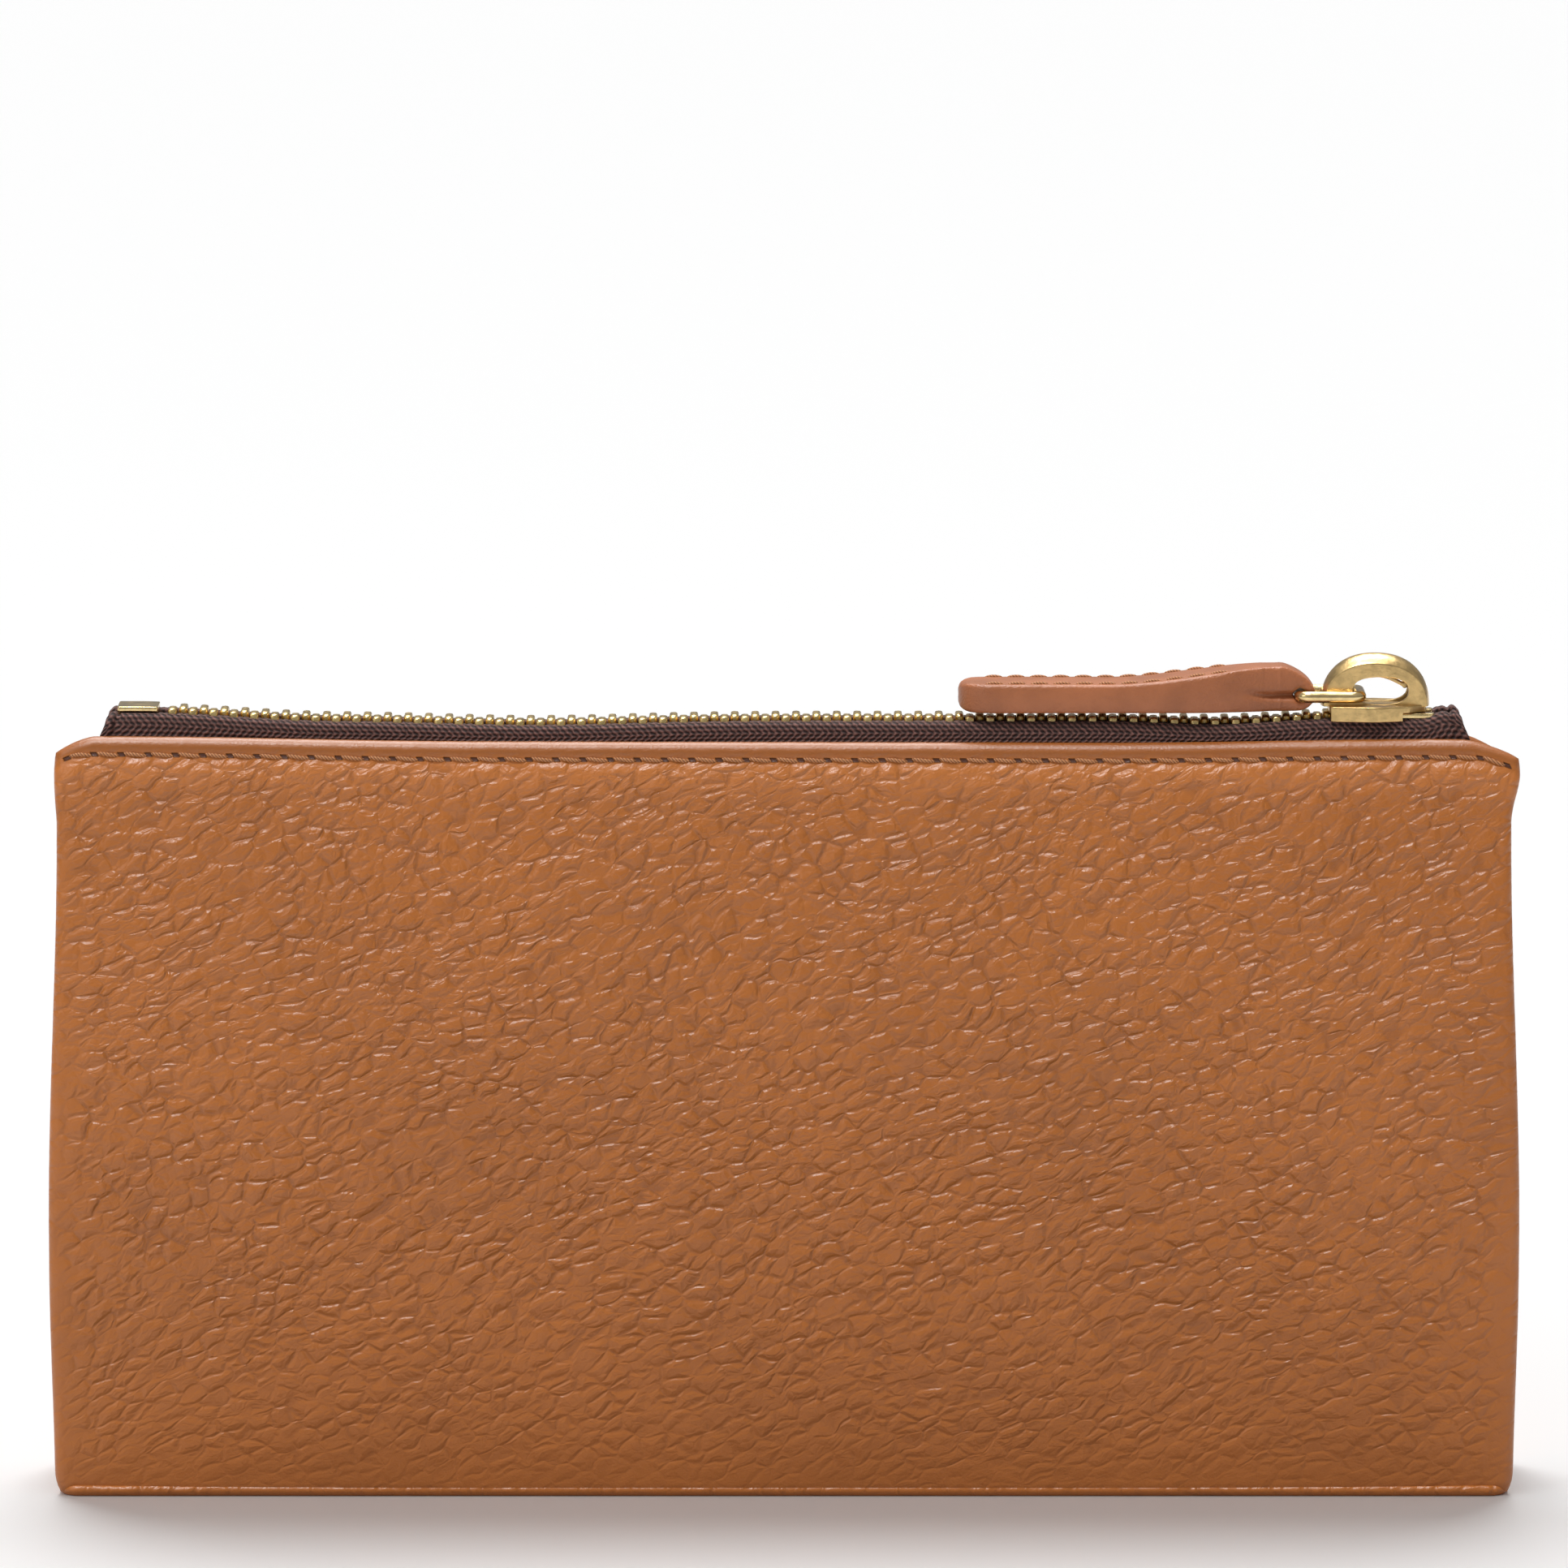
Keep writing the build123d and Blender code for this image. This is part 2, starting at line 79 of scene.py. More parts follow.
# The frame's own measures
leather_low, leather_high = box_mm("outer_leather_front")
rear_low = box_mm("outer_leather_rear")[0]
base_low, base_high = box_mm("outer_leather_base")
tape_low, tape_high = box_mm("zip_tape_front")
teeth_low, teeth_high = box_mm("zip_teeth_front")
HALF_LENGTH = leather_high[0]
HALF_DEPTH = -leather_low[1]
TOP_Z = leather_high[2]
CHAIN_Z = (teeth_low[2] + teeth_high[2]) / 2

# Shape of a half, as in the frame
KNEE_Z = 62.0          # above it a half leans in towards the zip
TOP_HALF_DEPTH = 7.2   # outer face from the middle plane at the top edge
KNEE_SOFT = 5.0        # how gently the knee turns
LEATHER = 1.4          # thickness of the leather
BOARD_FACE = 1.9       # inner face of the board, from the outer face
LINING_FACE = 2.2      # inner face of the lining, from the outer face
LAYER_Z = (4.2, 86.5)  # low and high edges of the board and the lining
LAYER_GAP = 0.02       # between two layers
CARD_LEATHER = 0.5
CARD_TOPS = (81.0, 70.0, 59.0, 48.0)
TURN_FACE = 2.6        # inner face of the turned edge, from the outer face
ROLL = 1.32            # radius of the turned edges
FLAP = 7.0             # how far the turned edge runs back behind the face
TOP_RISE = 0.6         # the top edge above the frame's
SEAM_DROP = 2.2        # from the top edge down to the stitch line
STITCH_PITCH = 3.5
GRAIN_RELIEF = 0.1     # height of the pebbles
RIB_PITCH = 0.85       # the tape's slanting ribs
PICK_PITCH = 0.55      # the tape's cross threads
CHEVRON = 1.7          # width of one leg of the tape's herringbone
FRONT, REAR = -1, 1


def smoothstep(edge0, edge1, x):
    t = np.clip((np.asarray(x, float) - edge0) / (edge1 - edge0), 0.0, 1.0)
    return t * t * (3.0 - 2.0 * t)


def quarter(t):
    """Quarter circle from 0 at t = 0 to 1 at t = 1."""
    return 1.0 - np.sqrt(np.clip(1.0 - np.asarray(t, float) ** 2, 0.0, 1.0))


def bell(x, middle, width):
    return np.exp(-(((x - middle) / width) ** 2))


def half_depth(z):
    """Outer face of a half from the middle plane, with the knee rounded off."""
    lean = (HALF_DEPTH - TOP_HALF_DEPTH) / (TOP_Z - KNEE_Z)
    return HALF_DEPTH - lean * KNEE_SOFT * np.logaddexp(0.0, (np.asarray(z, float) - KNEE_Z) / KNEE_SOFT)


def chain_lift(x):
    """Height of the chain above the frame's straight one: raised at the left end, hanging in between."""
    x = np.asarray(x, float)
    hang = smoothstep(-84.0, -58.0, x) * (1.0 - smoothstep(52.0, 72.0, x))
    return 0.75 - 0.75 * smoothstep(40.0, 66.0, x) - 1.1 * hang - 0.55 * bell(x, -32.0, 17.0) * hang


# ---- meshes


def add_to_scene(made):
    bpy.context.scene.collection.objects.link(made)


def new_mesh(name, points, faces, smooth=True):
    """A new piece from points in millimetres and lists of corners."""
    mesh = bpy.data.meshes.new(name)
    mesh.from_pydata((np.asarray(points, float) * MM).tolist(), [], faces)
    mesh.update()
    made = bpy.data.objects.new(name, mesh)
    add_to_scene(made)
    for polygon in mesh.polygons:
        polygon.use_smooth = smooth
    return made


def turn_outwards(piece):
    """Point every face away from the inside of the piece."""
    work = bmesh.new()
    work.from_mesh(piece.data)
    bmesh.ops.recalc_face_normals(work, faces=work.faces)
    work.to_mesh(piece.data)
    work.free()


def store(piece, name, values):
    """Keep one number or vector per point, which materials and relief read."""
    values = np.asarray(values, np.float32)
    kind, field = ("FLOAT_VECTOR", "vector") if values.ndim == 2 else ("FLOAT", "value")
    piece.data.attributes.new(name, kind, "POINT").data.foreach_set(field, values.ravel())


def settle(piece):
    """Apply every modifier of a piece to its mesh."""
    graph = bpy.context.evaluated_depsgraph_get()
    settled = bpy.data.meshes.new_from_object(piece.evaluated_get(graph))
    piece.modifiers.clear()
    piece.data = settled


def spread(low, high, step):
    """Even steps from low to high, about step apart."""
    return np.linspace(low, high, max(2, int(round((high - low) / step)) + 1))


def grid_quads(columns, rows):
    """Faces of a grid of points, row after row."""
    a = np.arange(rows - 1)[:, None] * columns + np.arange(columns - 1)
    return np.stack([a, a + 1, a + columns + 1, a + columns], axis=2)


def grid_border(columns, rows):
    """Points round a grid, anticlockwise from its first one."""
    right = [j * columns + columns - 1 for j in range(1, rows)]
    top = [(rows - 1) * columns + i for i in range(columns - 2, -1, -1)]
    left = [j * columns for j in range(rows - 2, 0, -1)]
    return list(range(columns)) + right + top + left


def point_list(x, y, z):
    """Points from three grids of coordinates, row after row."""
    return np.stack([x, y, z], axis=2).reshape(-1, 3)


def closed_sheet(name, outer, inner, columns, rows, smooth=False):
    """Two grids of points, one on each face of a thin sheet, closed along their border."""
    size = columns * rows
    quads = grid_quads(columns, rows)
    faces = np.concatenate([quads, size + quads[:, :, ::-1]], axis=1).reshape(-1, 4).tolist()
    border = grid_border(columns, rows)
    for a, b in zip(border, border[1:] + border[:1]):
        faces.append((a, size + a, size + b, b))
    piece = new_mesh(name, np.concatenate([outer, inner]), faces, smooth)
    turn_outwards(piece)
    return piece


# ---- outer leather


def end_width(z):
    """Half length of the face at height z: full below, drawn in under the zip, rounded at the base."""
    z = np.asarray(z, float)
    full = HALF_LENGTH - ROLL
    pinch = 1.25 * smoothstep(34.0, 84.0, z) - 0.75 * smoothstep(87.0, 94.0, z)
    draw = 0.55 * (1.0 - smoothstep(0.0, 30.0, z))
    foot = np.clip(1.0 - z / 3.0, 0.0, 1.0)
    return full - pinch - draw - 1.6 * quarter(foot)


def top_line(x, side):
    """Where a face's top edge starts to roll: dipped in the middle, falling away at both corners."""
    x = np.asarray(x, float)
    left_fall, left_run = (1.6, 4.2) if side == FRONT else (4.6, 8.5)
    right_fall, right_run = (1.95, 6.6) if side == FRONT else (3.7, 8.5)
    left = left_fall * np.clip((left_run - HALF_LENGTH - x) / left_run, 0.0, 1.0) ** 1.4
    right = right_fall * np.clip((x - HALF_LENGTH + right_run) / right_run, 0.0, 1.0) ** 1.45
    dip = 0.5 * (1.0 - smoothstep(40.0, 86.0, np.abs(x)))
    return TOP_Z + TOP_RISE - ROLL - (left + right) - dip - 0.2 * x / HALF_LENGTH


def outline_normals(loop):
    """Outward directions of a closed loop in the plane, smoothed along it."""
    ahead = np.roll(loop, -4, axis=0) - np.roll(loop, 4, axis=0)
    normal = np.stack([ahead[:, 1], -ahead[:, 0]], axis=1)
    for _ in range(6):
        normal = (np.roll(normal, 1, axis=0) + 2.0 * normal + np.roll(normal, -1, axis=0)) / 4.0
    return normal / np.linalg.norm(normal, axis=1)[:, None]


def rolled_sheet(name, column_x, rows, width_at, top_at, low_edge, place, roll=ROLL, flap=FLAP):
    """A face of leather whose edges are all turned behind it.

    The sheet is laid out flat as (along, across, depth) and place() puts it where it belongs. The face is a
    fine grid. Its border rolls through half a turn, runs back as a flap, steps down to one thickness of
    leather and is closed by a coarse grid inside.
    """
    columns = len(column_x)
    count = len(rows)
    share = np.asarray(rows, float)[:, None]
    at = np.asarray(column_x, float)[None, :]
    across = low_edge + share * (top_at(at * HALF_LENGTH) - low_edge)
    along = at * width_at(across)
    flat = point_list(along, across, np.zeros_like(along))
    faces = grid_quads(columns, count).reshape(-1, 4).tolist()
    loop = np.array(grid_border(columns, count))
    border = flat[loop, :2]
    normal = outline_normals(border)
    points = [flat]
    relief = [np.ones(len(flat))]
    previous = loop
    total = len(flat)
    turns = np.linspace(0, math.pi, 9)[1:]
    steps = [(math.sin(a) * roll, (1 - math.cos(a)) * roll, 0.55 if a < 1.7 else 0.0) for a in turns]
    if flap:
        steps += [(-flap, 2 * roll, 0.0), (-flap - 0.3, LEATHER, 0.0)]
    for out, depth, strength in steps:
        ring = np.column_stack([border + normal * out, np.full(len(border), depth)])
        ids = np.arange(total, total + len(loop))
        following = np.roll(ids, -1)
        before = np.roll(previous, -1)
        faces += list(zip(previous.tolist(), ids.tolist(), following.tolist(), before.tolist()))
        points.append(ring)
        relief.append(np.full(len(loop), strength))
        total += len(loop)
        previous = ids
    # Coarse closing grid at one thickness of leather
    faces += close_inside(points, previous.tolist(), columns, count, total)
    flat = np.concatenate(points)
    strength = np.concatenate(relief + [np.zeros(len(flat) - total)])
    piece = new_mesh(name, place(flat), faces)
    turn_outwards(piece)
    return piece, flat, strength


def close_inside(points, border, columns, count, total):
    """Fill the inner loop with large quads that still let the sheet bend along its length."""
    flat = np.concatenate(points)
    bottom = border[:columns]
    right = border[columns - 1 : columns + count - 1]
    top = border[columns + count - 2 : 2 * columns + count - 2][::-1]
    left = [border[0]] + border[2 * columns + count - 3 :][::-1]
    left = left[: count - 1] + [top[0]]
    stride = 12
    across_ids = [*range(0, columns - 1, stride), columns - 1]
    up_ids = [*range(0, count - 1, stride), count - 1]
    grid = {}
    new_points = []
    for a, i in enumerate(across_ids):
        for b, j in enumerate(up_ids):
            if b == 0:
                grid[a, b] = bottom[i]
            elif b == len(up_ids) - 1:
                grid[a, b] = top[i]
            elif a == 0:
                grid[a, b] = left[j]
            elif a == len(across_ids) - 1:
                grid[a, b] = right[j]
            else:
                share = j / (count - 1)
                x = flat[bottom[i], 0] * (1 - share) + flat[top[i], 0] * share
                new_points.append((x, flat[left[j], 1], flat[bottom[i], 2]))
                grid[a, b] = total + len(new_points) - 1
    faces = []
    last_a, last_b = len(across_ids) - 2, len(up_ids) - 2
    for a in range(len(across_ids) - 1):
        for b in range(len(up_ids) - 1):
            span = slice(across_ids[a], across_ids[a + 1] + 1)
            rise = slice(up_ids[b], up_ids[b + 1] + 1)
            low = bottom[span] if b == 0 else [grid[a, b], grid[a + 1, b]]
            high = top[span] if b == last_b else [grid[a, b + 1], grid[a + 1, b + 1]]
            east = right[rise] if a == last_a else [low[-1], high[-1]]
            west = left[rise] if a == 0 else [low[0], high[0]]
            ring = low + east[1:-1] + high[::-1] + west[1:-1][::-1]
            faces.append(ring[::-1])
    if new_points:
        points.append(np.array(new_points))
    return faces


def half_place(side):
    """Lay a flat sheet (along, height, depth) on one face of the wallet."""

    def place(flat):
        x, z, depth = flat.T
        end = np.clip(np.abs(x) / HALF_LENGTH, 0, 1)
        crown = 0.7 * end**6
        belly = 0.22 * np.sin(x / 23.0 + side) * np.sin(np.pi * np.clip(z / 96.0, 0, 1)) - 0.22
        below = top_line(x, side) + ROLL - z
        pucker = 0.32 * bell(below, SEAM_DROP, 0.6) - 0.24 * bell(below, 4.4, 1.6)
        inset = crown - belly * (1 - end**8) * 0.5 + pucker
        y = side * (half_depth(z) - inset * (depth < 2.0 * ROLL - 0.01) - depth)
        # The top edge is pulled a little towards the slider's end
        return np.column_stack([x + 0.42 * smoothstep(88.0, 94.0, z), y, z])

    return place


def outer_half(name, side, low):
    """The pebbled leather of one face."""
    columns = np.linspace(-1, 1, 371)
    rows = np.linspace(0, 1, 190)
    piece, flat, strength = rolled_sheet(
        name, columns, rows, end_width, lambda x: top_line(x, side), low + ROLL, half_place(side))
    finish_leather(piece, flat, strength, side)
    return piece


def finish_leather(piece, flat, strength, side):
    """Store the grain's coordinates, then raise its pebbles."""
    x, z, depth = flat.T
    # The rear is cut from another part of the hide, a whole number of stitches away
    shift = 0.0 if side == FRONT else 114 * STITCH_PITCH
    store(piece, "grain", np.column_stack([x * -side + shift, z, depth]))
    edge = top_line(x, side) + ROLL - z
    store(piece, "below_top", edge)
    calm = 0.35 + 0.65 * smoothstep(1.0, 9.0, z) * smoothstep(0.0, 6.0, HALF_LENGTH - np.abs(x))
    calm = calm * (0.5 + 0.5 * smoothstep(2.0, 38.0, z))
    seam = 1.0 - 0.75 * bell(edge, 2.3, 1.2)
    store(piece, "relief", strength * calm * seam * GRAIN_RELIEF)
    store(piece, "calm", calm * (0.25 + 0.75 * seam) * smoothstep(0.6, 3.6, edge))
    raise_pebbles(piece)


# ---- the grain, shared by relief and material


def new_node(tree, kind, **inputs):
    """A shader node with some of its inputs set."""
    node = tree.nodes.new("ShaderNode" + kind)
    for name, value in inputs.items():
        node.inputs[name].default_value = value
    return node


def feed(node, index, value):
    """Link a socket to an input, or set it to a plain value."""
    if hasattr(value, "node"):
        node.id_data.links.new(value, node.inputs[index])
    else:
        node.inputs[index].default_value = value


def maths(operation, a, b=0.0, kind="Math"):
    """Combine a socket with another one or a number, in its own tree."""
    node = new_node((a if hasattr(a, "node") else b).id_data, kind)
    node.operation = operation
    feed(node, 0, a)
    feed(node, 1, b)
    return node.outputs[0]


def plus(a, b):
    return maths("ADD", a, b)


def minus(a, b):
    return maths("SUBTRACT", a, b)


def times(a, b):
    return maths("MULTIPLY", a, b)


def vector_maths(operation, a, b):
    return maths(operation, a, b, "VectorMath")


def ramp_between(value, low, high, to_low=0.0, to_high=1.0):
    node = new_node(value.id_data, "MapRange")
    node.interpolation_type = "SMOOTHSTEP"
    feed(node, 0, value)
    for index, number in enumerate((low, high, to_low, to_high), start=1):
        node.inputs[index].default_value = number
    return node.outputs[0]


def noise(vector, scale, detail=2.0, roughness=0.5, colour=False):
    node = new_node(vector.id_data, "TexNoise", Scale=scale, Detail=detail, Roughness=roughness)
    feed(node, "Vector", vector)
    return node.outputs["Color" if colour else "Fac"]


def cell_edge(vector, scale, randomness=0.9):
    node = new_node(vector.id_data, "TexVoronoi")
    node.feature = "DISTANCE_TO_EDGE"
    feed(node, "Vector", vector)
    feed(node, "Scale", scale)
    feed(node, "Randomness", randomness)
    return node.outputs["Distance"]


def pebbles(grain):
    """Heights of the large pebbles and of the fine crinkle: 0 in a crease, 1 on a cell. grain is in mm."""
    half = (0.5, 0.5, 0.5)
    drift = vector_maths("SUBTRACT", noise(grain, 0.028, 1.0, 0.5, colour=True), half)
    wander = vector_maths("MULTIPLY", drift, (8.0, 8.0, 0.0))
    fine = vector_maths("SUBTRACT", noise(grain, 0.45, 0.0, 0.5, colour=True), half)
    jitter = vector_maths("MULTIPLY", fine, (1.05, 1.05, 0.0))
    moved = vector_maths("ADD", vector_maths("ADD", grain, wander), jitter)
    turn = new_node(grain.id_data, "VectorRotate")
    turn.rotation_type = "Z_AXIS"
    feed(turn, "Vector", moved)
    feed(turn, "Angle", math.radians(-27))
    laid = vector_maths("MULTIPLY", turn.outputs[0], (0.6, 1.0, 0.0))
    cells = groove(cell_edge(laid, 0.53, 0.72))
    crinkle = groove(cell_edge(laid, 1.2))
    # Some cells run together where their crease fades
    fade = ramp_between(noise(laid, 0.3, 1.0, 0.5), 0.34, 0.6, 0.5, 1.0)
    return minus(1.0, times(minus(1.0, cells), fade)), crinkle


def groove(distance):
    """A narrow valley along each cell's edge that opens into a shallow dome."""
    narrow = ramp_between(distance, 0.0, 0.17)
    dome = ramp_between(distance, 0.0, 0.5)
    return plus(times(narrow, 0.38), times(dome, 0.62))


def raise_pebbles(piece):
    """Lift the points of a piece along their normals by the grain, and apply it."""
    tree = bpy.data.node_groups.get("raise_pebbles")
    if tree is None:
        tree = bpy.data.node_groups.new("raise_pebbles", "GeometryNodeTree")
        tree.interface.new_socket("Geometry", in_out="INPUT", socket_type="NodeSocketGeometry")
        tree.interface.new_socket("Geometry", in_out="OUTPUT", socket_type="NodeSocketGeometry")
        start = tree.nodes.new("NodeGroupInput")
        end = tree.nodes.new("NodeGroupOutput")
        grain = tree.nodes.new("GeometryNodeInputNamedAttribute")
        grain.data_type = "FLOAT_VECTOR"
        grain.inputs["Name"].default_value = "grain"
        amount = tree.nodes.new("GeometryNodeInputNamedAttribute")
        amount.data_type = "FLOAT"
        amount.inputs["Name"].default_value = "relief"
        large, small = pebbles(grain.outputs["Attribute"])
        both = plus(times(large, 0.8), times(small, 0.2))
        swell = times(noise(grain.outputs["Attribute"], 0.045, 2.0), 1.2)
        height = minus(plus(both, swell), 1.6)
        lift = times(times(height, amount.outputs["Attribute"]), MM)
        normal = tree.nodes.new("GeometryNodeInputNormal")
        scaled = tree.nodes.new("ShaderNodeVectorMath")
        scaled.operation = "SCALE"
        tree.links.new(normal.outputs[0], scaled.inputs[0])
        tree.links.new(lift, scaled.inputs["Scale"])
        move = tree.nodes.new("GeometryNodeSetPosition")
        tree.links.new(start.outputs[0], move.inputs["Geometry"])
        tree.links.new(scaled.outputs[0], move.inputs["Offset"])
        tree.links.new(move.outputs[0], end.inputs[0])
    modifier = piece.modifiers.new("pebbles", "NODES")
    modifier.node_group = tree
    settle(piece)


# ---- materials


def new_material(name):
    """An empty node material with its Principled shader."""
    material = bpy.data.materials.new(name)
    material.use_nodes = True
    tree = material.node_tree
    return material, tree, tree.nodes["Principled BSDF"]


def read(tree, name, output="Fac"):
    """What store() kept under a name."""
    node = tree.nodes.new("ShaderNodeAttribute")
    node.attribute_name = name
    return node.outputs[output]


def axes(vector):
    """The three parts of a vector."""
    node = new_node(vector.id_data, "SeparateXYZ")
    feed(node, 0, vector)
    return node.outputs


def shade(tone, amount):
    """A colour made lighter or darker."""
    return tuple(min(1.0, c * amount) for c in tone[:3]) + (1.0,)


def object_mm(tree):
    """The object's own coordinates, in millimetres."""
    node = new_node(tree, "TexCoord")
    return vector_maths("MULTIPLY", node.outputs["Object"], (1 / MM, 1 / MM, 1 / MM))


def linear(red, green, blue):
    """An 8-bit screen colour as the shader's linear one."""
    values = [c / 255 for c in (red, green, blue)]
    return tuple(c / 12.92 if c <= 0.04045 else ((c + 0.055) / 1.055) ** 2.4 for c in values) + (1.0,)


def mix_colour(factor, a, b):
    node = new_node(factor.id_data, "Mix")
    node.data_type = "RGBA"
    for index, value in ((0, factor), (6, a), (7, b)):
        feed(node, index, value)
    return node.outputs[2]


def bump(shader, height, distance, strength=1.0):
    """Feed a height to the shader's normal. distance is in metres."""
    node = new_node(shader.id_data, "Bump", Strength=strength, Distance=distance)
    feed(node, "Height", height)
    feed(shader, "Normal", node.outputs[0])


def pebbled_leather():
    """Tan pebbled cowhide: fine creases darkened with painted shade, cells that catch the light, a band
    under the seam painted paler as a highlight, and a calmer seam line.
    """
    material, tree, shader = new_material("pebbled_leather")
    grain = read(tree, "grain", "Vector")
    below = read(tree, "below_top")
    calm = read(tree, "calm")
    large, small = pebbles(grain)
    cells = plus(times(large, 0.86), times(small, 0.14))
    patches = noise(grain, 0.03, 3.0, 0.55)
    patchy = ramp_between(patches, 0.3, 0.7)
    body = mix_colour(patchy, linear(169, 97, 33), linear(178, 103, 37))
    # The turned edge is painted darker, a painted shade that holds down the overhead light on its top
    body = mix_colour(ramp_between(below, 1.2, 2.2, 1.0, 0.0), body, linear(152, 86, 30))
    # The band under the seam is painted paler, a painted highlight where the pucker tilts the face up to
    # the light
    painted_highlight_band = times(ramp_between(below, 2.4, 3.4), ramp_between(below, 4.6, 8.0, 1.0, 0.0))
    body = mix_colour(painted_highlight_band, body, linear(186, 110, 46))
    # Painted shade: the colour is darker only right inside a crease
    depth = times(ramp_between(large, 0.0, 0.2, 1.0, 0.0), calm)
    painted_crease_shade = mix_colour(times(depth, 0.34), body, linear(116, 62, 20))
    parts = axes(grain)
    # Needle holes: short slanting slits, one each stitch pitch, painted dark as the shade inside them
    lean = times(minus(below, SEAM_DROP), 0.5)
    run = minus(parts[0], lean)
    cycle = minus(maths("FRACT", maths("DIVIDE", run, STITCH_PITCH)), 0.5)
    centre = times(maths("ABSOLUTE", cycle), STITCH_PITCH)
    across = maths("ABSOLUTE", minus(below, SEAM_DROP))
    width = ramp_between(centre, 0.3, 0.5, 1.0, 0.0)
    hole = times(width, ramp_between(across, 0.14, 0.34, 1.0, 0.0))
    feed(shader, "Base Color", mix_colour(hole, painted_crease_shade, linear(78, 40, 24)))
    feed(shader, "Roughness", plus(times(cells, -0.05), 0.39))
    feed(shader, "Specular IOR Level", 0.6)
    fine = noise(grain, 3.0, 3.0, 0.6)
    height = plus(times(cells, calm), times(fine, 0.1))
    height = minus(height, times(hole, 1.2))
    bump(shader, height, 0.0005)
    return material


def smooth_leather(name, tone, roughness=0.5):
    """Fine-grained leather for the tab, the card slots and the gussets."""
    material, tree, shader = new_material(name)
    place = object_mm(tree)
    patches = noise(place, 0.12, 4.0, 0.55)
    colour = mix_colour(ramp_between(patches, 0.3, 0.7), shade(tone, 0.84), shade(tone, 1.14))
    feed(shader, "Base Color", colour)
    cells = ramp_between(cell_edge(place, 1.5), 0.0, 0.3)
    pores = noise(place, 5.0, 2.0, 0.6)
    height = plus(times(cells, 0.5), pores)
    bump(shader, height, 0.00006, 0.8)
    feed(shader, "Roughness", roughness)
    feed(shader, "Specular IOR Level", 0.4)
    return material


def woven(name, tone, thread=0.45):
    """Plain woven cotton, thread mm apart."""
    material, tree, shader = new_material(name)
    place = object_mm(tree)
    parts = axes(place)
    across = plus(parts[2], parts[1])
    turn = 2 * math.pi / thread
    warp = maths("SINE", times(parts[0], turn))
    weft = maths("SINE", times(across, turn))
    cloth = times(warp, weft)
    slubs = noise(place, 0.9, 3.0, 0.6)
    share = plus(times(cloth, 0.25), slubs)
    colour = mix_colour(share, shade(tone, 0.75), shade(tone, 1.2))
    feed(shader, "Base Color", colour)
    bump(shader, cloth, 0.00005, 0.7)
    feed(shader, "Roughness", 0.85)
    feed(shader, "Sheen Weight", 0.15)
    return material


def zip_twill():
    """Dark brown herringbone tape: slanting ribs of doubled yarn with a little sheen."""
    material, tree, shader = new_material("zip_twill")
    grain = read(tree, "grain", "Vector")
    parts = axes(grain)
    wobble = times(noise(grain, 0.8, 2.0), 0.45)
    turned = maths("PINGPONG", parts[1], CHEVRON)
    slant = plus(plus(parts[0], turned), wobble)
    ribs = maths("SINE", times(slant, 2 * math.pi / RIB_PITCH))
    picks = maths("SINE", times(parts[1], 2 * math.pi / PICK_PITCH))
    cloth = plus(times(ribs, 0.6), times(picks, 0.4))
    share = ramp_between(cloth, -0.7, 0.9)
    fuzz = noise(grain, 2.0, 3.0, 0.6)
    flecks = times(share, ramp_between(fuzz, 0.3, 0.7, 0.45, 1.3))
    tone = mix_colour(flecks, linear(34, 19, 18), linear(124, 86, 78))
    feed(shader, "Base Color", tone)
    bump(shader, plus(cloth, times(fuzz, 0.8)), 0.00016, 0.9)
    feed(shader, "Roughness", 0.72)
    feed(shader, "Specular IOR Level", 0.3)
    feed(shader, "Sheen Weight", 0.05)
    return material


def gold(name, tone, roughness, pitting, scale):
    """Pale gold plate over a casting: soft dents, and darker, rougher patches."""
    material, tree, shader = new_material(name)
    place = object_mm(tree)
    dents = noise(place, scale, 3.0, 0.55)
    tarnish = noise(place, 0.7, 3.0, 0.6)
    colour = mix_colour(ramp_between(tarnish, 0.3, 0.65), shade(tone, 0.72), tone)
    feed(shader, "Base Color", colour)
    feed(shader, "Roughness", plus(times(tarnish, 0.16), roughness - 0.08))
    feed(shader, "Metallic", 1.0)
    bump(shader, dents, pitting, 0.5)
    return material


def twisted_thread():
    """Waxed tan thread with its twist."""
    material, tree, shader = new_material("twisted_thread")
    place = object_mm(tree)
    parts = axes(place)
    lay = plus(parts[0], times(parts[2], 0.9))
    twist = maths("SINE", times(lay, 2 * math.pi / 0.42))
    tone = mix_colour(ramp_between(twist, -1.0, 1.0), linear(140, 86, 50), linear(196, 136, 88))
    feed(shader, "Base Color", tone)
    bump(shader, twist, 0.00004, 0.8)
    feed(shader, "Roughness", 0.6)
    return material


def pressed_board():
    """Grey-brown pressed fibre board."""
    material, tree, shader = new_material("pressed_board")
    place = object_mm(tree)
    flecks = noise(place, 1.8, 4.0, 0.7)
    tone = mix_colour(flecks, linear(128, 112, 92), linear(176, 160, 136))
    feed(shader, "Base Color", tone)
    bump(shader, flecks, 0.00003, 0.5)
    feed(shader, "Roughness", 0.9)
    return material


LEATHER_SKIN = pebbled_leather()
CARD_SKIN = smooth_leather("card_slot_leather", linear(150, 94, 60))
TAB_SKIN = smooth_leather("tab_leather", linear(164, 100, 64), roughness=0.36)
GUSSET_SKIN = smooth_leather("gusset_leather", linear(150, 92, 56))
LINING = woven("lining_cotton", linear(104, 76, 58))
POCKET = woven("pocket_cotton", linear(98, 72, 56), 0.5)
TWILL = zip_twill()
THREAD = twisted_thread()
BOARD = pressed_board()
TEETH_GOLD = gold("teeth_gold", linear(238, 208, 142), 0.28, 0.00002, 3.0)
CAST_GOLD = gold("cast_gold", linear(224, 190, 130), 0.33, 0.00008, 1.6)
RING_GOLD = gold("ring_gold", linear(238, 210, 152), 0.22, 0.00002, 2.0)


def dress(piece, material):
    """Give a piece its material."""
    piece.data.materials.clear()
    piece.data.materials.append(material)


# ---- faces, layers and base


